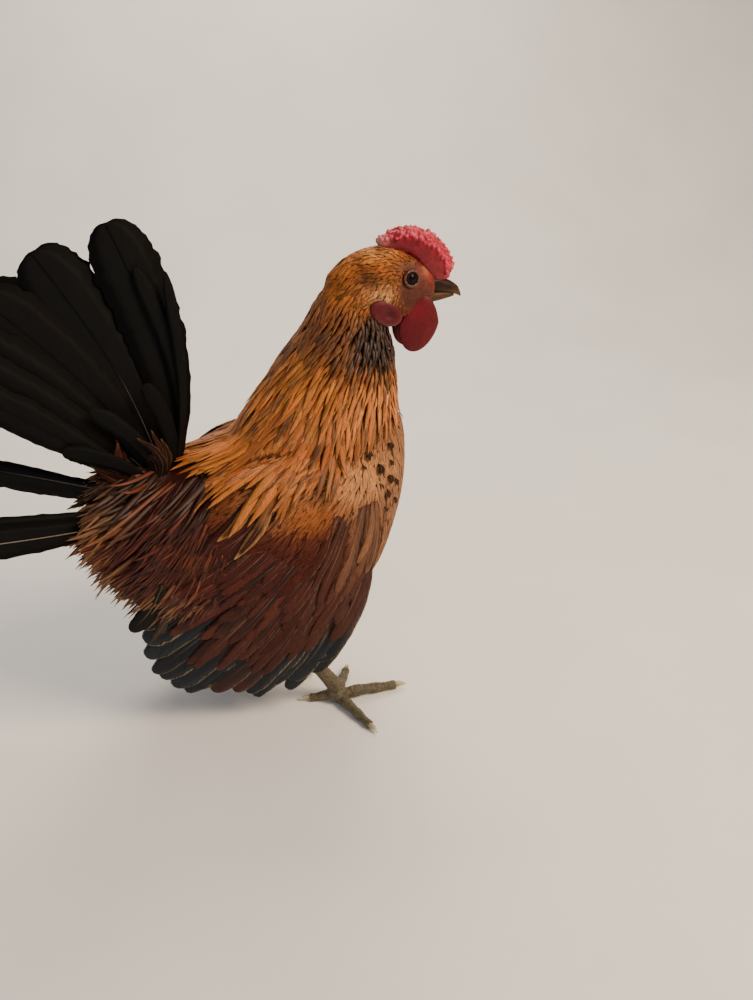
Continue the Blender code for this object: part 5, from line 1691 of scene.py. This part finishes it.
class COCKEREL_OT_eyes(bpy.types.Operator):
    """Build the eyes and their lids"""

    bl_idname = "cockerel.eyes"
    bl_label = "Eyes"

    def eyeball(self, side, middle, turn):
        """A ball whose pole looks out of the head, with pupil, iris and a dark rim round it."""
        bm = bmesh.new()
        bmesh.ops.create_uvsphere(bm, u_segments=48, v_segments=56, radius=EYE_RADIUS)
        angles = []
        for v in bm.verts:
            angles.append(math.degrees(math.acos(max(-1, min(1, v.co.z / EYE_RADIUS)))))
            v.co = turn @ v.co + middle
        made = new_object("eyeball_" + side, bm)
        angles = np.array(angles)
        tint = mixed(linear("#050303"), linear("#33190E"), (angles - 35) / 4)
        paint(made, "tint", mixed(tint, linear("#120907"), (angles - 47) / 6))
        return made

    def lids(self, side, middle, turn):
        """A wrinkled roll round the eye, closing in a little at the top."""
        bm = bmesh.new()
        ring = bmesh.ops.create_circle(bm, segments=12, radius=LID_ROLL)["verts"]
        bmesh.ops.rotate(bm, cent=(0, 0, 0), matrix=Matrix.Rotation(math.pi / 2, 3, "X"), verts=ring)
        bmesh.ops.translate(bm, vec=(LID_RING, 0, 0), verts=ring)
        bmesh.ops.spin(
            bm, geom=bm.verts[:] + bm.edges[:], cent=(0, 0, 0), axis=(0, 0, 1), angle=math.tau, steps=56,
            use_merge=True,
        )
        rims = []
        for v in bm.verts:
            rims.append(math.hypot(v.co.x, v.co.y))
            upper = max((turn @ v.co).z, 0) / 4
            v.co.x *= 1 - 0.10 * upper
            v.co.y *= 1 - 0.10 * upper
            v.co.z += 2.15 + 0.45 * upper + 0.12 * math.sin(9 * math.atan2(v.co.y, v.co.x))
            v.co = turn @ v.co + middle
        made = new_object("eyelids_" + side, bm)
        paint(made, "tint", mixed(linear("#2E1C14"), linear("#7A4528"), (np.array(rims) - 3.6) / 0.8))
        return made

    def execute(self, context):
        # Eye: a wet clear cornea over a brown iris and black pupil.
        wet = eye_material()
        # Lids: thin wrinkled skin, grey brown at the rim.
        dry = flesh_material("lid_skin_wrinkled", 0.4, 0.5, Roughness=0.45, Subsurface_Weight=0.05)
        for side, sign in SIDES:
            middle = Vector(EYE * both(sign))
            turn = Vector(EYE_AXIS * both(sign)).to_track_quat("Z", "Y").to_matrix()
            finish_piece(self.eyeball(side, middle, turn), wet, "eye", "eye_" + side)
            finish_piece(self.lids(side, middle, turn), dry, "comb_skin")
        return {"FINISHED"}


class COCKEREL_OT_beak(bpy.types.Operator):
    """Build the two halves of the beak"""

    bl_idname = "cockerel.beak"
    bl_label = "Beak"

    def shape_top(self, points):
        """A ridge along the top and a nostril with its fold on each side."""
        ridge = np.exp(-((points[:, 1] / 1.4) ** 2)) * (points[:, 2] > 223)
        points[:, 2] += ridge * 0.35
        for sign in (-1, 1):
            nostril = NOSTRIL * both(sign)
            press(points, nostril, np.array((1.5, 2.0, 0.7)), (0, -sign * 1.0, 0))
            press(points, nostril + (0, 0, 1.2), np.array((2.0, 2.0, 0.8)), (0, sign * 0.4, 0.1))

    def execute(self, context):
        # Beak horn: grown in layers, dark on the ridge and pale along the cutting edge.
        finish = horn_material("beak_horn_layered", Roughness=0.45, Specular_IOR_Level=0.15)
        halves = (("beak_top", BEAK_UPPER, "beak_upper"), ("beak_bottom", BEAK_LOWER, "beak_lower"))
        for name, stations, replaced in halves:
            bm = bmesh.new()
            bridged(bm, rings_along_x(stations, 5, 28, 0.0, 2.3))
            beak = new_object(name, bm)
            points = bird_points(beak)
            if name == "beak_top":
                self.shape_top(points)
            points += uneven(points, 1.7)[:, None] * 0.05
            set_bird_points(beak, points)
            edge = below(points[:, 2], 222.6, 1.4) if name == "beak_top" else 0.7
            pale = np.maximum(edge * 0.6, above(points[:, 0], 70, 5) * 0.4)
            paint(beak, "tint", mixed(linear("#26170F"), colour("horn"), pale))
            finish_piece(beak, finish, "horn", replaced)
        return {"FINISHED"}


def toe_line(side, toe, count):
    """The middle line of a toe from the ankle to its claw, and its direction."""
    _, turn, length, radius = toe
    heading = math.radians(FOOT_HEADING[side] + (turn if side == "right" else -turn))
    way = np.array((math.cos(heading), math.sin(heading), 0.0))
    t = np.linspace(0, 1, count)
    points = ANKLE[side] * (1, 1, 0) + way * (length * t)[:, None]
    points[:, 2] = radius * (0.95 - 0.25 * t) + 0.9 * np.sin(np.pi * np.minimum(1.0, t * 1.2)) ** 2
    return points, way


def plate_shape(plates, rings):
    """Overlapping plates down the upper side of a limb: each swells and then steps in."""

    def shape(i, turn):
        step = (i * plates / rings) % 1.0
        front = np.clip(np.cos(turn - math.pi / 2), 0, 1) ** 0.5
        return 1 + PLATE_HEIGHT * (step - 0.35) * front

    return shape


class COCKEREL_OT_legs(bpy.types.Operator):
    """Build the scaled shanks, toes and claws"""

    bl_idname = "cockerel.legs"
    bl_label = "Legs"

    def leg(self, side):
        """One shank with its plates, the palm and the toes with their pads, as one surface."""
        bm = bmesh.new()
        rings = 72
        t = np.linspace(-0.06, 1.0, rings)
        line = HOCK[side] + (ANKLE[side] - HOCK[side]) * t[:, None]
        swell = 1.0 + 0.24 * np.abs(2 * np.clip(t, 0, 1) - 1) ** 3
        scutes = plate_shape(settings().scutes, rings)
        bridged(bm, rings_along(line, SHANK_RADIUS * swell * 0.98, 28, scutes))
        ball(bm, 24, 16, PALM_SIZE, ANKLE[side] - PALM_DROP)
        rings = 44
        share = np.linspace(0, 1, rings)
        for toe in TOES:
            _, _, length, radius = toe
            pads = 1 + 0.07 * np.cos(share * math.tau * (2 if length < 20 else 3))
            radii = radius * (1.05 - 0.32 * share) * pads
            line = toe_line(side, toe, rings)[0]
            bridged(bm, rings_along(line, radii, 24, plate_shape(round(length / 2.4), rings)))
        made = new_object("leg_scaled_" + side, bm)
        fuse(made, 0.5, 0.4, 1)
        points = keep_above_floor(made)
        tint = mixed(colour("leg"), linear("#57523F"), np.clip(uneven(points, 7.0) * 1.2 + 0.2, 0, 1) * 0.6)
        paint(made, "tint", mixed(tint, linear("#C7B37A"), below(points[:, 2], 2.0, 2.0) * 0.35))
        return made

    def claw(self, side, toe):
        """A short claw that leaves the toe's end, rises a little and bends down to a paler tip."""
        line, way = toe_line(side, toe, 6)
        t = np.linspace(-0.12, 1, 14)
        places = (-0.12, 0, 0.4, 0.8, 1)
        drop = np.interp(t, places, (0.2, 0.2, 0.5, -0.3, -0.8))
        spine = line[-1] + np.outer(0.3 + CLAW_LENGTH * t, way) + np.outer(drop, (0, 0, 1))
        radii = toe[3] * 0.72 * np.interp(t, places, (0.72, 0.72, 0.6, 0.32, 0.08))
        bm = bmesh.new()
        bridged(bm, rings_along(spine, radii, 14))
        made = new_object("claw_horn_%s_%s" % (side, toe[0]), bm)
        points = keep_above_floor(made)
        far = ((points - line[-1]) @ way) / CLAW_LENGTH
        paint(made, "tint", mixed(linear("#8A7A58"), linear("#D6C6A2"), far))
        return made

    def execute(self, context):
        # Leg scales: hard overlapping keratin plates in front, a fine net of scales behind, waxy.
        scale = flesh_material("leg_scale_keratin", 1.1, 0.8, Roughness=0.45, Specular_IOR_Level=0.3)
        horn = horn_material("claw_horn", Roughness=0.35)
        for side, _ in SIDES:
            finish_piece(self.leg(side), scale, "leg_scale", "shank_" + side, "foot_" + side)
            for toe in TOES:
                finish_piece(self.claw(side, toe), horn, "horn", "claw_%s_%s" % (side, toe[0]))
        return {"FINISHED"}


class COCKEREL_OT_stage(bpy.types.Operator):
    """Build the pale floor, the studio light and the camera"""

    bl_idname = "cockerel.stage"
    bl_label = "Stage"

    def board(self):
        """A wide board that curves up behind the bird."""
        bm = bmesh.new()
        bmesh.ops.create_grid(bm, x_segments=2, y_segments=40, size=1.0)
        for v in bm.verts:
            back = max(v.co.y - 0.45, 0)
            v.co = Vector((v.co.x * 4, v.co.y * 2.0 - 0.4, min(back * back * 9, 1.6)))
        mesh = bpy.data.meshes.new("floor")
        bm.to_mesh(mesh)
        bm.free()
        mesh.shade_smooth()
        # Matt painted board, pale, with the faintest mottle.
        finish, tree, shader = new_material("floor_matt_board", Roughness=0.6)
        add = partial(node, tree)
        mottle = add("TexNoise", {"Vector": add("TexCoord")["Object"], "Scale": 9.0, "Detail": 4.0})[0]
        mottle = add("MapRange", (mottle, 0.3, 0.7, 0.0, 1.0), **SMOOTH)[0]
        pale = colour("floor")
        shade = add("Mix", {0: mottle, 6: (*pale, 1.0), 7: (*(pale * 0.95), 1.0)}, **MIXED)[2]
        tree.links.new(shade, shader.inputs["Base Color"])
        mesh.materials.append(finish)
        floor = link_new("floor", mesh)

    def lights(self):
        """Three soft lamps aimed at the bird, and a dim even sky."""
        for name, place, size, power, code in LAMPS:
            lamp = bpy.data.lights.new(name, "AREA")
            lamp.size, lamp.energy, lamp.color = size, power, linear(code)
            held = link_new(name, lamp)
            held.location = place
            held.rotation_euler = (Vector(LAMP_AIM) - Vector(place)).to_track_quat("-Z", "Y").to_euler()
        world = bpy.data.worlds.new("studio")
        world.use_nodes = True
        sky = world.node_tree.nodes["Background"]
        sky.inputs["Color"].default_value = (*linear("#DADDE2"), 1.0)
        sky.inputs["Strength"].default_value = SKY_STRENGTH
        bpy.context.scene.world = world

    def camera(self):
        """The camera at the photo's place and angle."""
        lens = bpy.data.cameras.new("photo_view")
        lens.lens, lens.sensor_width = CAMERA_LENS, CAMERA_SENSOR
        lens.clip_start, lens.clip_end = 0.01, 20
        held = link_new("photo_view", lens)
        held.location = Vector(to_row(CAMERA_PLACE))
        turn, pitch = math.radians(CAMERA_TURN), math.radians(CAMERA_PITCH)
        look = Vector((math.sin(turn) * math.cos(pitch), math.cos(turn) * math.cos(pitch), -math.sin(pitch)))
        held.rotation_euler = look.to_track_quat("-Z", "Y").to_euler()
        bpy.context.scene.camera = held

    def execute(self, context):
        self.board()
        self.lights()
        self.camera()
        return {"FINISHED"}


PIECES = (
    COCKEREL_OT_skin, COCKEREL_OT_head_coat, COCKEREL_OT_hackle, COCKEREL_OT_body_coat, COCKEREL_OT_saddle,
    COCKEREL_OT_wings, COCKEREL_OT_tail, COCKEREL_OT_comb, COCKEREL_OT_wattles, COCKEREL_OT_eyes,
    COCKEREL_OT_beak, COCKEREL_OT_legs, COCKEREL_OT_stage,
)


class COCKEREL_PT_panel(bpy.types.Panel):
    """Lists the sizes, colours and pieces of the cockerel"""

    bl_label = "Cockerel"
    bl_idname = "COCKEREL_PT_panel"
    bl_space_type = "VIEW_3D"
    bl_region_type = "UI"
    bl_category = "Cockerel"

    def draw(self, context):
        for name in CockerelSettings.__annotations__:
            self.layout.prop(context.scene.cockerel, name)
        for piece in PIECES:
            self.layout.operator(piece.bl_idname)


CLASSES = (CockerelSettings, *PIECES, COCKEREL_PT_panel)


def register():
    for made in CLASSES:
        bpy.utils.register_class(made)
    bpy.types.Scene.cockerel = PointerProperty(type=CockerelSettings)


def unregister():
    del bpy.types.Scene.cockerel
    for made in reversed(CLASSES):
        bpy.utils.unregister_class(made)


def main():
    register()
    for piece in PIECES:
        family, name = piece.bl_idname.split(".")
        getattr(getattr(bpy.ops, family), name)()


if __name__ == "__main__":
    main()
